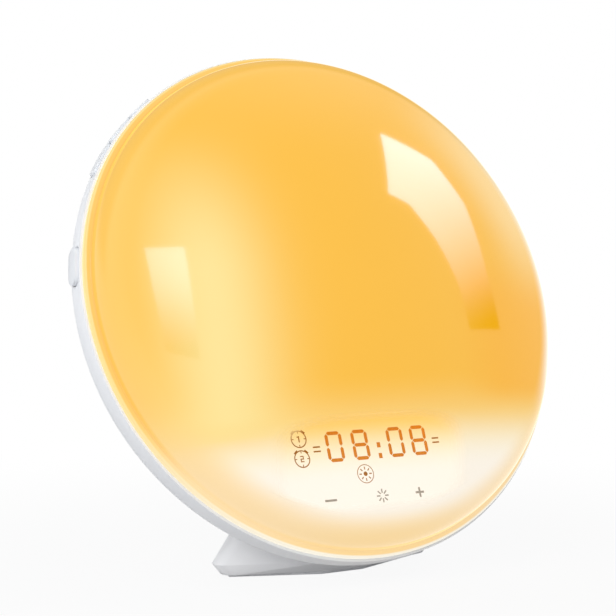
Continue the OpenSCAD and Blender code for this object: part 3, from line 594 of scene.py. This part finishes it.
@dataclass(frozen=True)
class HeadGlow:
    """The lamp's glow over the disc: warm amber above, cream below, bright at its edge with
    painted highlights.

    Args:
        base: Screen colour of the amber under everything.
        patches: What is laid over it, in order.
        slant: How much the measure across falls with the height.
        lip_tones: Screen colours of the lip, at its upper left and lower right; the lighter lower
            right one is a painted highlight.
        lip_turn: How far from the middle the lip has these colours in full.
        lip_from: Between which radii the glow turns into the lip.
        drift_tone: Screen colour of the faint clouds in the plastic.
        drift_scale: Their scale, in cycles per metre.
        drift_most: How strong they are.
        window_at: Middle of the clear window over the display.
        window_half: Half its width and height.
        window_power: How square its corners are.
        window_edge: From which share of its half sizes, to which, it turns opal.
        window_veil: How much opal is left in its middle.
        plate_at: Middle of the display's round plate, as seen from the front left.
        plate_edge: Between which distances from there the lens turns opal.
    """

    base: Screen = (251, 192, 76)
    patches: tuple[Patch, ...] = (HONEY, CREAM_POOL, LOW_EDGE, TOP_VEIL, BEAM, DEEP_SIDE,
                                  SHOULDER, LOWER_RIM, HAZE, PAINTED_RIM_HIGHLIGHT, ROOT_CREASE_SHADE)
    slant: float = 0.6
    lip_tones: tuple[Screen, Screen] = ((254, 224, 152), (255, 249, 232))
    lip_turn: float = 60.0
    lip_from: Pair = (86.0, 86.6)
    drift_tone: Screen = (255, 222, 150)
    drift_scale: float = 22.0
    drift_most: float = 0.04
    window_at: Pair = (-6.5, -59.5)
    window_half: Pair = (37.0, 15.4)
    window_power: float = 4.0
    window_edge: Pair = (0.78, 1.0)
    window_veil: float = 0.02
    plate_at: Pair = (-4.2, -1.2)
    plate_edge: Pair = (72.8, 75.0)

    def colour(self, sheet: Sheet, right: Socket, up: Socket) -> Socket:
        """Paints the glow.

        Args:
            sheet: The sheet of its group.
            right: The point's place to the right on the disc.
            up: Its place up the disc.

        Returns:
            The glow's colour.
        """
        glow = lit(*self.base)
        radius = sheet.span(right, up)
        across = sheet.math("SUBTRACT", right, sheet.times(up, self.slant))
        places = {Place.RIGHT: right, Place.UP: up, Place.RADIUS: radius, Place.ACROSS: across}
        for patch in self.patches:
            glow = patch.lay(sheet, glow, places)
        # The lip turns from amber at its upper left to cream at its lower right: a painted
        # highlight along its edge.
        dark, light = (lit(*tone) for tone in self.lip_tones)
        turn = sheet.ease(sheet.math("SUBTRACT", right, up), -self.lip_turn, self.lip_turn)
        glow = sheet.mix(sheet.ease(radius, *self.lip_from), glow, sheet.mix(turn, dark, light))
        clouds = sheet.noise(sheet.here(), self.drift_scale, 2.0)
        return sheet.mix(sheet.times(clouds, self.drift_most), glow, lit(*self.drift_tone))

    def cover(self, sheet: Sheet, right: Socket, up: Socket) -> Socket:
        """Works out where the lens is opal and where it is clear.

        Args:
            sheet: The sheet of its group.
            right: The point's place to the right on the disc.
            up: Its place up the disc.

        Returns:
            How opal the lens is, 0 to 1.
        """
        sides = []
        for value, middle, half in zip((right, up), self.window_at, self.window_half):
            side = sheet.math("DIVIDE", sheet.math("SUBTRACT", value, middle), half)
            sides.append(sheet.math("POWER", sheet.math("ABSOLUTE", side), self.window_power))
        away = sheet.math("POWER", sheet.math("ADD", *sides), 1 / self.window_power)
        plate = sheet.span(*(sheet.math("SUBTRACT", value, middle)
                             for value, middle in zip((right, up), self.plate_at)))
        return sheet.math("MAXIMUM", sheet.ease(away, *self.window_edge, self.window_veil),
                          sheet.ease(plate, *self.plate_edge))

    def build(self) -> Tree:
        """Builds the group.

        Returns:
            The group, with its colour and its cover.
        """
        sheet, _, made = new_group("head_glow", {}, ("Colour", "Cover"))
        right, up, _ = sheet.on_head()
        sheet.fill(made, {"Colour": self.colour(sheet, right, up),
                          "Cover": self.cover(sheet, right, up)})
        return sheet.tree


@dataclass
class Effects:
    """The shader groups that finishes share, each built once."""

    grain: Tree = field(default_factory=grain_group)
    glow: Tree = field(default_factory=HeadGlow().build)
    drawn: Tree = field(default_factory=brushed_group)


# ---------- finishes ----------


def start_material(name: str) -> tuple[Material, Sheet, Node]:
    """Starts a material.

    Args:
        name: Its name.

    Returns:
        The material, its sheet and its shader.
    """
    material = bpy.data.materials.new(name)
    material.use_nodes = True
    sheet = Sheet(material.node_tree)
    return material, sheet, material.node_tree.nodes["Principled BSDF"]


def place_group(sheet: Sheet, tree: Tree, **values: float) -> Node:
    """Places a shared group in a sheet.

    Args:
        sheet: The sheet.
        tree: The group.
        values: Its own values here, by the names of its inputs.

    Returns:
        The group's node.
    """
    node = sheet.add("ShaderNodeGroup")
    node.node_tree = tree
    sheet.fill(node, values)
    return node


def raise_grain(sheet: Sheet, shader: Node, height: Socket, depth: float) -> None:
    """Raises a grain on the shader's surface.

    Args:
        sheet: The material's sheet.
        shader: The shader.
        height: The grain's height, 0 to 1.
        depth: The height of 1, in metres.
    """
    bump = sheet.add("ShaderNodeBump")
    sheet.fill(bump, {"Strength": 1.0, "Distance": depth, "Height": height})
    sheet.feed(shader.inputs["Normal"], bump.outputs["Normal"])


@dataclass(frozen=True)
class Moulded:
    """A moulded, printed or coated finish with a fine grain.

    Args:
        colour: Main screen colour.
        shade: Screen colour of its slightly darker patches.
        gloss: Roughness.
        scale: Grain size, in cycles per metre.
        depth: Grain depth, in metres.
        coat: Weight of a clear top skin.
        glow: Strength of light given off in its own colour.
        shine: Level of its mirror sheen, 0.5 on plain plastic.
        patches: Between which levels of the broad noise the colour turns to its shade.
    """

    colour: Screen
    shade: Screen
    gloss: float
    scale: float = 2600.0
    depth: float = 1.2e-5
    coat: float = 0.0
    glow: float = 0.0
    shine: float = 0.5
    patches: Pair = (0.3, 0.75)

    def dress(self, name: str, effects: Effects) -> Material:
        """Builds the material.

        Args:
            name: Its name.
            effects: The shared shader groups.

        Returns:
            The material.
        """
        material, sheet, shader = start_material(name)
        grain = place_group(sheet, effects.grain, Scale=self.scale, Gloss=self.gloss)
        colour = sheet.mix(sheet.ease(grain.outputs["Tone"], *self.patches),
                           tint(*self.colour), tint(*self.shade))
        raise_grain(sheet, shader, grain.outputs["Height"], self.depth)
        sheet.fill(shader, {"Base Color": colour, "Roughness": grain.outputs["Roughness"],
                            "Coat Weight": self.coat, "Specular IOR Level": self.shine})
        if self.glow:
            sheet.fill(shader, {"Emission Color": colour, "Emission Strength": self.glow})
        return material


@dataclass(frozen=True)
class Metal:
    """A drawn or plated metal finish with streaks.

    Args:
        colour: Main screen colour.
        shade: Screen colour of its darker streaks.
        gloss: Roughness.
        scale: Streak size, in cycles per metre.
        depth: Depth of the streaks, in metres.
    """

    colour: Screen
    shade: Screen
    gloss: float
    scale: float = 900.0
    depth: float = 1.5e-5

    def dress(self, name: str, effects: Effects) -> Material:
        """Builds the material.

        Args:
            name: Its name.
            effects: The shared shader groups.

        Returns:
            The material.
        """
        material, sheet, shader = start_material(name)
        drawn = place_group(sheet, effects.drawn, Scale=self.scale, Gloss=self.gloss)
        colour = sheet.mix(drawn.outputs["Tone"], tint(*self.colour), tint(*self.shade))
        raise_grain(sheet, shader, drawn.outputs["Height"], self.depth)
        sheet.fill(shader, {"Base Color": colour, "Roughness": drawn.outputs["Roughness"],
                            "Metallic": 1.0})
        return material


@dataclass(frozen=True)
class Board:
    """A printed circuit's lacquer over its tracks.

    Args:
        colour: Screen colour of the lacquer.
        track: Screen colour over the tracks.
        gloss: Roughness.
        depth: How far the tracks stand out, in metres.
    """

    colour: Screen
    track: Screen
    gloss: float = 0.32
    depth: float = 4e-5

    def dress(self, name: str, effects: Effects) -> Material:
        """Builds the material.

        Args:
            name: Its name.
            effects: The shared shader groups.

        Returns:
            The material.
        """
        material, sheet, shader = start_material(name)
        right, up, _ = sheet.on_head()
        cells = sheet.add("ShaderNodeTexBrick", offset=0.37, squash=0.7, squash_frequency=3)
        place = sheet.add("ShaderNodeCombineXYZ")
        sheet.fill(place, {"X": right, "Y": up})
        sheet.fill(cells, {"Vector": place.outputs[0], "Scale": 0.24, "Mortar Size": 0.05,
                           "Brick Width": 1.1, "Row Height": 0.42})
        grain = place_group(sheet, effects.grain, Scale=1800.0, Gloss=self.gloss)
        colour = sheet.mix(cells.outputs["Fac"], tint(*self.colour), tint(*self.track))
        raise_grain(sheet, shader, cells.outputs["Fac"], self.depth)
        sheet.fill(shader, {"Base Color": colour, "Roughness": grain.outputs["Roughness"]})
        return material


@dataclass(frozen=True)
class LitOpal:
    """Opal plastic lit by the lamp behind it; on the overlay this glow is painted light, standing
    in for the lamp's light that reaches it.

    Args:
        gloss: Roughness of its surface.
        own: Share of the glow's colour that is the plastic's own colour.
        glow: Strength of the light that it gives off.
        clear: Whether its lower middle is clear enough to show the display.
        coat: Weight of its polished skin.
        coat_gloss: Roughness of that skin.
        bend: How strongly the plastic bends light.
        depth: Depth of its grain, in metres.
    """

    gloss: float
    own: float
    glow: float
    clear: bool = False
    coat: float = 0.0
    coat_gloss: float = 0.02
    bend: float = 1.49
    depth: float = 1.5e-6

    def dress(self, name: str, effects: Effects) -> Material:
        """Builds the material.

        Args:
            name: Its name.
            effects: The shared shader groups.

        Returns:
            The material.
        """
        material, sheet, shader = start_material(name)
        lamp = place_group(sheet, effects.glow)
        grain = place_group(sheet, effects.grain, Scale=900.0, Gloss=self.gloss, Spread=0.03)
        colour = lamp.outputs["Colour"]
        own = sheet.mix(1.0, colour, (self.own,) * 3, Blend.MULTIPLY)
        raise_grain(sheet, shader, grain.outputs["Height"], self.depth)
        sheet.fill(shader, {"Base Color": own, "Roughness": grain.outputs["Roughness"],
                            "Emission Color": colour, "Emission Strength": self.glow,
                            "IOR": self.bend, "Coat Weight": self.coat,
                            "Coat Roughness": self.coat_gloss})
        if self.clear:
            sheet.feed(shader.inputs["Alpha"], lamp.outputs["Cover"])
        return material


FINISHES: dict[str, Union[Moulded, Metal, Board, LitOpal]] = {
    "lens": LitOpal(gloss=0.07, own=0.3, glow=0.68, clear=True, coat=0.35),
    # Painted light: the overlay glows in the lens's colour though it is no lamp, standing in for
    # the lamp's light reaching it through the lens.
    "overlay": LitOpal(gloss=0.5, own=0.06, glow=0.92),
    # Painted light: the pan glows though it is no lamp, standing in for the lamp's light falling
    # on it inside the lens.
    "pan": Moulded((255, 238, 204), (252, 232, 194), gloss=0.55, glow=0.8),
    "shell": Moulded((236, 238, 241), (231, 233, 237), gloss=0.36, depth=8e-6),
    "foot": Moulded((240, 240, 241), (236, 236, 238), gloss=0.45, depth=8e-6),
    "keys": Moulded((228, 231, 235), (222, 225, 230), gloss=0.3, scale=3400.0, depth=5e-6),
    "pad": Moulded((228, 229, 231), (219, 220, 223), gloss=0.8, scale=1500.0, depth=4e-5),
    "segments": Moulded((212, 127, 6), (203, 118, 4), gloss=0.45, glow=0.1, shine=0.1),
    "icons": Moulded((166, 104, 8), (154, 96, 8), gloss=0.45, glow=0.05, shine=0.1),
    "marks": Moulded((160, 151, 138), (150, 141, 128), gloss=0.6, glow=0.1, shine=0.1),
    "white_board": Moulded((238, 240, 236), (228, 231, 226), gloss=0.45, scale=900.0, depth=2e-5),
    "green_board": Board((22, 92, 52), (46, 122, 76)),
    "led_warm": Moulded((255, 214, 120), (250, 200, 100), gloss=0.25, glow=1.0, coat=0.3),
    "led_colour": Moulded((250, 250, 246), (236, 238, 240), gloss=0.2, coat=0.4),
    "steel": Metal((205, 206, 210), (168, 170, 175), gloss=0.28),
    "spring": Metal((214, 196, 138), (180, 160, 104), gloss=0.25),
    "black_plastic": Moulded((34, 34, 36), (26, 26, 28), gloss=0.5),
    "can": Moulded((44, 48, 70), (34, 38, 58), gloss=0.35, coat=0.3),
    "socket": Moulded((240, 235, 218), (230, 224, 205), gloss=0.45),
    "speaker_metal": Metal((92, 94, 98), (70, 72, 76), gloss=0.45),
    "foam": Moulded((48, 48, 48), (34, 34, 34), gloss=0.95, scale=3000.0, depth=1.2e-4),
    "cone_paper": Moulded((44, 44, 46), (34, 34, 36), gloss=0.8, scale=1400.0, depth=6e-5),
    "copper": Metal((196, 122, 66), (150, 84, 40), gloss=0.35, scale=2400.0),
    "cell": Metal((214, 216, 219), (184, 186, 190), gloss=0.22, scale=600.0),
    "wire_red": Moulded((168, 36, 30), (150, 28, 24), gloss=0.4),
    "wire_black": Moulded((36, 36, 36), (26, 26, 26), gloss=0.4),
    "wire_blue": Moulded((54, 80, 148), (44, 68, 130), gloss=0.4),
    "wire_grey": Moulded((184, 184, 184), (170, 170, 170), gloss=0.4),
}


@dataclass
class PaintShop:
    """Makes each finish once and puts it on pieces and CAD nodes."""

    effects: Effects = field(default_factory=Effects)
    made: dict[str, Material] = field(default_factory=dict)

    def finish(self, slot: str) -> Material:
        """Finds the material of a slot, and makes it on first use.

        Args:
            slot: The record's slot.

        Returns:
            Its material.
        """
        if slot not in self.made:
            self.made[slot] = FINISHES[slot].dress(slot, self.effects)
        return self.made[slot]

    def coat(self, obj: Piece, slot: str, body: Body, *nodes: str) -> None:
        """Finishes a new piece and ties it to the frame.

        Args:
            obj: The piece.
            slot: The record's slot that it takes its finish from.
            body: The body that it rides on.
            nodes: The CAD nodes that it stands for.
        """
        obj.data.materials.clear()
        obj.data.materials.append(self.finish(slot))
        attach(obj, body.value)
        if nodes:
            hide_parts(*nodes)
        LOG.info("%s: %d faces, on %s", obj.name, len(obj.data.polygons), body.value)

    def coat_nodes(self) -> None:
        """Gives every CAD node that still shows its slot's material."""
        for part in frame["record"]["subparts"]:
            node = frame["nodes"][part["node"]]
            if node.hide_render:
                continue
            material = self.finish(part["material_slot"])
            if not node.material_slots:
                node.data.materials.append(material)
            for slot in node.material_slots:
                slot.material = material
            LOG.info("%s: CAD node in %s", part["node"], part["material_slot"])


# ---------- sub-assemblies ----------


@dataclass
class GlowLens:
    """The domed opal lens, one turned piece with its lip and snap skirt. Sizes in millimetres.

    Args:
        lip_radius: Outer radius of the flat lip.
        lip_back: Height of the lip's back.
        lip_edge: Rounding of the lip's front edge.
        back_edge: Rounding of its back edge.
        dome_radius: Radius of the dome's foot.
        dome_height: Height of the dome over the lip.
        shoulder: Rounding of the dome's shoulder.
        root: Rounding between the shoulder and the lip.
        wall: Thickness.
        skirt: Inner and outer radius of the skirt.
        skirt_end: Height of its end.
        steps: Steps of the full turn.
        notches: Angle and half length of the skirt's openings for the keys.
        notch_radii: Inner and outer radius of these openings.
        notch_heights: Their lower end, and their distance below the lip's back.
        crease: The smallest angle between faces that stays sharp, in degrees.
    """

    lip_radius: float = 87.0
    lip_back: float = -2.2
    lip_edge: float = 0.8
    back_edge: float = 0.3
    dome_radius: float = 84.7
    dome_height: float = 25.0
    shoulder: float = 12.0
    root: float = 0.5
    wall: float = 2.0
    skirt: Pair = (83.5, 85.1)
    skirt_end: float = -8.2
    steps: int = 256
    notches: tuple[Pair, ...] = ((171.3, 12.0), (138.8, 27.0))
    notch_radii: Pair = (60.0, 90.0)
    notch_heights: Pair = (-20.0, 0.4)
    crease: float = 40.0

    def arc(self, centre: Pair, radius: float, start: float, end: float,
            count: int) -> list[Pair]:
        """Lays points along an arc.

        Args:
            centre: Its centre.
            radius: Its radius.
            start: Angle of its start, in degrees from the outward direction.
            end: Angle of its end.
            count: Number of steps between them.

        Returns:
            The points, from start to end.
        """
        angles = [math.radians(start + (end - start) * i / count) for i in range(count + 1)]
        return [(centre[0] + radius * math.cos(a), centre[1] + radius * math.sin(a))
                for a in angles]

    def section(self) -> list[Pair]:
        """Draws the lens section from the dome's top, over the lip and back inside.

        Returns:
            Radius and height of each point.
        """
        rim = self.dome_radius - self.shoulder
        rise = self.dome_height - self.shoulder
        cap = (self.dome_height ** 2 + rim ** 2 - self.shoulder ** 2) / (2 * rise)
        low = self.dome_height - cap
        tangent = math.degrees(math.acos(rim / (cap - self.shoulder)))
        top = self.arc((0.0, low), cap, 90.0, tangent, 46)
        side = self.arc((rim, 0.0), self.shoulder, tangent, 3.0, 18)[1:]
        lip = self.arc((self.dome_radius + self.root, self.root), self.root, 200.0, 270.0, 4)
        edge = self.arc((self.lip_radius - self.lip_edge, -self.lip_edge), self.lip_edge,
                        90.0, 0.0, 6)
        under = self.arc((self.lip_radius - self.back_edge, self.lip_back + self.back_edge),
                         self.back_edge, 0.0, -90.0, 3)
        skirt = [(self.skirt[1], self.lip_back), (self.skirt[1], self.skirt_end),
                 (self.skirt[0], self.skirt_end), (self.skirt[0], self.lip_back),
                 (self.dome_radius - self.wall, self.lip_back)]
        inner_side = self.arc((rim, 0.0), self.shoulder - self.wall, 0.0, tangent, 10)
        inner_top = self.arc((0.0, low), cap - self.wall, tangent, 90.0, 26)[1:]
        return top + side + lip + edge + under + skirt + inner_side + inner_top

    def build(self) -> Piece:
        """Models the lens and clears the skirt where the keys stand.

        Returns:
            The lens.
        """
        lens = spin_profile("glow_lens", self.section(), self.steps)
        (near, far), (low, gap) = self.notch_radii, self.notch_heights
        for angle, half in self.notches:
            cutter = block((near, -half, low), (far, half, self.lip_back - gap))
            settle(cutter, Matrix.Rotation(math.radians(angle), 4, "Z"))
            cut(lens, cutter)
        settle(lens, HEAD)
        smooth(lens, self.crease)
        return lens

    def dress(self, shop: PaintShop) -> None:
        """Builds, finishes and mounts the lens."""
        shop.coat(self.build(), "lens", Body.CASE, "front_lens")


@dataclass
class Case:
    """The rear shell, its grille, inlet and battery cover, refined from their CAD shapes."""

    parts: tuple[tuple[str, str, str, float, Body], ...] = (
        ("rear_shell", "back_shell", "shell", 0.3, Body.CASE),
        ("speaker_grille", "sound_grille", "shell", 0.15, Body.CASE),
        ("battery_door", "cell_cover", "shell", 0.25, Body.COVER),
        ("dc_jack_body", "power_inlet", "black_plastic", 0.15, Body.CASE),
    )

    def dress(self, shop: PaintShop) -> None:
        """Refines, finishes and mounts each part."""
        for node, name, slot, edge, body in self.parts:
            shop.coat(refined_copy(node, name, edge), slot, body, node)


@dataclass
class RimKeys:
    """The four keys on the rim, with softly rounded faces."""

    rounding: float = 0.55
    keys: tuple[tuple[str, str, Body], ...] = (
        ("key_light", "light_button", Body.LIGHT_KEY),
        ("key_alarm_one", "alarm_one_button", Body.ALARM_ONE_KEY),
        ("key_alarm_two", "alarm_two_button", Body.ALARM_TWO_KEY),
        ("key_clock", "clock_button", Body.CLOCK_KEY),
    )

    def dress(self, shop: PaintShop) -> None:
        """Refines, finishes and mounts each key."""
        for node, name, body in self.keys:
            shop.coat(refined_copy(node, name, self.rounding), "keys", body, node)


@dataclass
class Foot:
    """The flared foot: its shell, its base plate and its rubber pad."""

    crease: float = 20.0
    parts: tuple[tuple[str, str, str, float], ...] = (
        ("foot_shell", "foot_cone", "foot", 0.5),
        ("foot_base", "foot_plate", "foot", 0.2),
        ("foot_pad", "rubber_pad", "pad", 0.4),
    )

    def dress(self, shop: PaintShop) -> None:
        """Refines, finishes and mounts each part."""
        for node, name, slot, edge in self.parts:
            shop.coat(refined_copy(node, name, edge, self.crease), slot, Body.CASE, node)


@dataclass
class Display:
    """The digits, whose middle strokes in the two zeros are unlit.

    Args:
        zero_x: Where the zeros stand, to the right of the disc's middle, in millimetres.
        middle: How far up the middle strokes lie.
        reach: Half the width and height that a middle stroke lies within.
    """

    zero_x: Pair = (-15.6, 7.2)
    middle: float = -52.4
    reach: Pair = (2.2, 1.0)

    def is_unlit(self, spot: Vector) -> bool:
        """Tells whether a place on the disc lies in an unlit stroke."""
        wide, tall = self.reach
        return (abs(spot.y - self.middle) < tall
                and any(abs(spot.x - x) < wide for x in self.zero_x))

    def dress(self, shop: PaintShop) -> None:
        """Copies the strokes and paints the unlit ones as the face plate.

        Args:
            shop: The paint shop.
        """
        digits = refined_copy("digit_segments", "lit_digits", 0.0)
        shop.coat(digits, "segments", Body.CASE, "digit_segments")
        digits.data.materials.append(shop.finish("overlay"))
        back = HEAD.inverted()
        for face in digits.data.polygons:
            face.material_index = int(self.is_unlit(back @ face.center / MM))


# ---------- stage ----------


@dataclass(frozen=True)
class Panel:
    """A bright panel in the room that only polished surfaces mirror.

    Args:
        name: Name of the panel.
        rows: From its bright end to its faded one, its left and right side at each height, as
            the bearing from the front and the height seen from the lens, in degrees.
        power: Brightness.
        tone: Colour of its light.
        distance: How far from the lens it stands, in metres.
    """

    name: str
    rows: tuple[tuple[Pair, Pair], ...]
    power: float
    tone: Colour = (1.0, 0.74, 1.0)
    distance: float = 1.6

    def spot(self, bearing: float, rise: float) -> Vector:
        """Finds a place in the room.

        Args:
            bearing: Its bearing from the front, in degrees.
            rise: Its height seen from the lens, in degrees.

        Returns:
            The place.
        """
        b, h = math.radians(bearing), math.radians(rise)
        aim = Vector((math.sin(b) * math.cos(h), -math.cos(b) * math.cos(h), math.sin(h)))
        return HEAD_CENTRE + aim * self.distance

    def shape(self) -> Piece:
        """Models the panel through its rows.

        Returns:
            The panel.
        """
        last = len(self.rows) - 1
        bpy.ops.object.select_all(action="DESELECT")
        bpy.ops.mesh.primitive_plane_add(size=1)
        obj = bpy.context.object
        obj.name = self.name
        edit(True)
        bpy.ops.mesh.subdivide(number_cuts=last - 1)
        edit(False)
        for vertex in obj.data.vertices:
            across, down = vertex.co.x + 0.5, round((0.5 - vertex.co.y) * last)
            left, right = (self.spot(*end) for end in self.rows[down])
            vertex.co = left * (1 - across) + right * across
        return obj

    def build(self) -> None:
        """Stands the panel in the room."""
        obj = self.shape()
        material, sheet, _ = start_material(self.name)
        heights = [vertex.co.z for vertex in obj.data.vertices]
        fade = sheet.ease(sheet.split(sheet.here())[2], min(heights), max(heights))
        glow, out = sheet.add("ShaderNodeEmission"), material.node_tree.nodes["Material Output"]
        sheet.fill(glow, {"Color": self.tone, "Strength": sheet.times(fade, self.power)})
        sheet.feed(out.inputs["Surface"], glow.outputs[0])
        obj.data.materials.append(material)
        for ray in ("camera", "diffuse", "shadow", "transmission"):
            setattr(obj, f"visible_{ray}", False)


@dataclass(frozen=True)
class Lamp:
    """A square soft lamp that faces the clock and isn't mirrored in it.

    Args:
        name: Name of the lamp.
        place: Where it stands, in metres.
        size: Length of its sides, in metres.
        power: Its power, in watts.
    """

    name: str
    place: tuple[float, float, float]
    size: float
    power: float

    def build(self) -> None:
        """Stands the lamp in the room."""
        data = bpy.data.lights.new(self.name, "AREA")
        data.shape, data.size, data.energy = "SQUARE", self.size, self.power
        obj = bpy.data.objects.new(self.name, data)
        bpy.context.scene.collection.objects.link(obj)
        obj.location = self.place
        aim = HEAD_CENTRE - Vector(self.place)
        obj.rotation_euler = aim.to_track_quat("-Z", "Y").to_euler()
        obj.visible_glossy = False


@dataclass(frozen=True)
class Camera:
    """The photograph's camera.

    Args:
        azimuth: How far to the left of the front it stands, as an angle.
        height: How far above level it stands, as an angle.
        distance: How far from the disc it stands, in millimetres.
        aside: How far to the right of the disc it looks, in millimetres.
        rise: How far above the disc it looks, in millimetres.
        lens: Focal length, in millimetres.
        sensor: Width of its sensor, in millimetres.
        near: Where its view begins, in metres.
    """

    azimuth: float = math.radians(30.65)
    height: float = math.radians(2.5)
    distance: float = 528.3
    aside: float = -8.15
    rise: float = -3.9
    lens: float = 93.5
    sensor: float = 36.0
    near: float = 0.01

    def build(self) -> None:
        """Places the camera where the photograph was taken from."""
        right = Vector((math.cos(self.azimuth), -math.sin(self.azimuth), 0))
        ahead = Vector((math.sin(self.azimuth) * math.cos(self.height),
                        math.cos(self.azimuth) * math.cos(self.height), -math.sin(self.height)))
        above = right.cross(ahead)
        spot = HEAD_CENTRE + (right * self.aside + above * self.rise - ahead * self.distance) * MM
        data = bpy.data.cameras.new("photo_camera")
        data.lens, data.sensor_width, data.clip_start = self.lens, self.sensor, self.near
        obj = bpy.data.objects.new("photo_camera", data)
        bpy.context.scene.collection.objects.link(obj)
        turn = Matrix((right, above, -ahead)).transposed().to_4x4()
        obj.matrix_world = Matrix.Translation(spot) @ turn
        bpy.context.scene.camera = obj


@dataclass(frozen=True)
class Room:
    """The white room: what the clock mirrors and what shows behind it.

    Args:
        tone: Colour of its soft light.
        power: Strength of that light.
        above: Between which heights, from level 0 to overhead 1, the mirrored white dims.
        behind: Between which depths, from the clock 0 to the back 1, it dims.
        dimmed: By how much it dims above and behind.
    """

    tone: Colour = (0.96, 0.98, 1.0)
    power: float = 0.4
    above: Pair = (0.2, 0.5)
    behind: Pair = (0.0, 0.4)
    dimmed: float = 0.8

    def build(self) -> None:
        """Lights all round softly and shows plain white behind the clock."""
        world = bpy.data.worlds.new("studio")
        bpy.context.scene.world = world
        world.use_nodes = True
        sheet = Sheet(world.node_tree)
        world.node_tree.nodes.clear()
        seen = sheet.camera_or_mirror("Is Glossy Ray", "Is Transmission Ray")
        _, depth, height = sheet.split(sheet.add("ShaderNodeTexCoord").outputs["Generated"])
        dim = sheet.times(sheet.ease(height, *self.above, 0.0, self.dimmed),
                          sheet.ease(depth, *self.behind))
        plain, light = sheet.add("ShaderNodeBackground"), sheet.add("ShaderNodeBackground")
        sheet.fill(plain, {"Color": (1.0, 1.0, 1.0),
                           "Strength": sheet.math("SUBTRACT", 1.0, dim)})
        sheet.fill(light, {"Color": self.tone, "Strength": self.power})
        mix, out = sheet.add("ShaderNodeMixShader"), sheet.add("ShaderNodeOutputWorld")
        for socket, value in zip(mix.inputs, (seen, light.outputs[0], plain.outputs[0])):
            sheet.feed(socket, value)
        sheet.feed(out.inputs["Surface"], mix.outputs[0])


@dataclass(frozen=True)
class Floor:
    """A plain white floor that keeps a soft shadow under the clock.

    Args:
        size: Length of its sides, in metres.
        tone: Colour that light falls on.
        gloss: Roughness.
        whitens: Between which distances from the foot it turns plain white, in metres.
        near_white: How much of the plain white shows under the foot.
    """

    size: float = 8.0
    tone: Colour = (0.55, 0.55, 0.56)
    gloss: float = 0.9
    whitens: Pair = (0.06, 0.3)
    near_white: float = 0.93

    def build(self) -> None:
        """Lays the floor."""
        bpy.ops.object.select_all(action="DESELECT")
        bpy.ops.mesh.primitive_plane_add(size=self.size)
        obj = bpy.context.object
        obj.name = "floor"
        material, sheet, shader = start_material("floor")
        sheet.fill(shader, {"Base Color": self.tone, "Roughness": self.gloss,
                            "Specular IOR Level": 0.0})
        seen = sheet.camera_or_mirror("Is Glossy Ray")
        length = sheet.add("ShaderNodeVectorMath", operation="LENGTH")
        sheet.feed(length.inputs[0], sheet.here())
        white = sheet.ease(length.outputs["Value"], *self.whitens, self.near_white)
        glow, mix = sheet.add("ShaderNodeEmission"), sheet.add("ShaderNodeMixShader")
        share = sheet.times(white, seen)
        for socket, value in zip(mix.inputs, (share, shader.outputs[0], glow.outputs[0])):
            sheet.feed(socket, value)
        sheet.feed(material.node_tree.nodes["Material Output"].inputs["Surface"], mix.outputs[0])
        obj.data.materials.append(material)


@dataclass(frozen=True)
class Stage:
    """Camera, room, floor, soft studio lamps and reflected panels."""

    props: tuple[Union[Camera, Room, Floor, Lamp, Panel], ...] = (
        Camera(),
        Room(),
        Floor(),
        Lamp("key_lamp", (-0.9, -0.5, 1.1), 1.0, 7.0),
        Lamp("fill_lamp", (0.9, -1.0, 0.7), 1.2, 3.0),
        Lamp("low_lamp", (-1.1, -0.8, 0.4), 0.9, 9.0),
        Lamp("back_lamp", (0.5, 1.3, 0.7), 1.0, 6.0),
        Panel("left_panel", (((-17.8, 45.2), (-7.1, 45.1)), ((-16.3, 36.2), (-7.2, 35.1)),
                             ((-14.3, 24.0), (-7.3, 22.0))), 6.0),
        Panel("right_panel", (((59.7, 42.7), (77.1, 48.7)), ((62.9, 39.2), (82.1, 39.5)),
                              ((62.8, 32.1), (79.3, 32.2)), ((61.6, 24.6), (71.4, 22.8)),
                              ((58.9, 17.2), (67.7, 14.9))), 9.0),
    )

    def build(self) -> None:
        """Sets the whole stage."""
        for prop in self.props:
            prop.build()
        bpy.context.scene.view_settings.view_transform = "Standard"


def main() -> None:
    """Builds the stage and the clock."""
    logging.basicConfig(level=logging.INFO, format="%(name)s %(message)s")
    Stage().build()
    shop = PaintShop()
    for part in (GlowLens(), Case(), RimKeys(), Foot(), Display()):
        part.dress(shop)
    shop.coat_nodes()


if __name__ == "__main__":
    main()
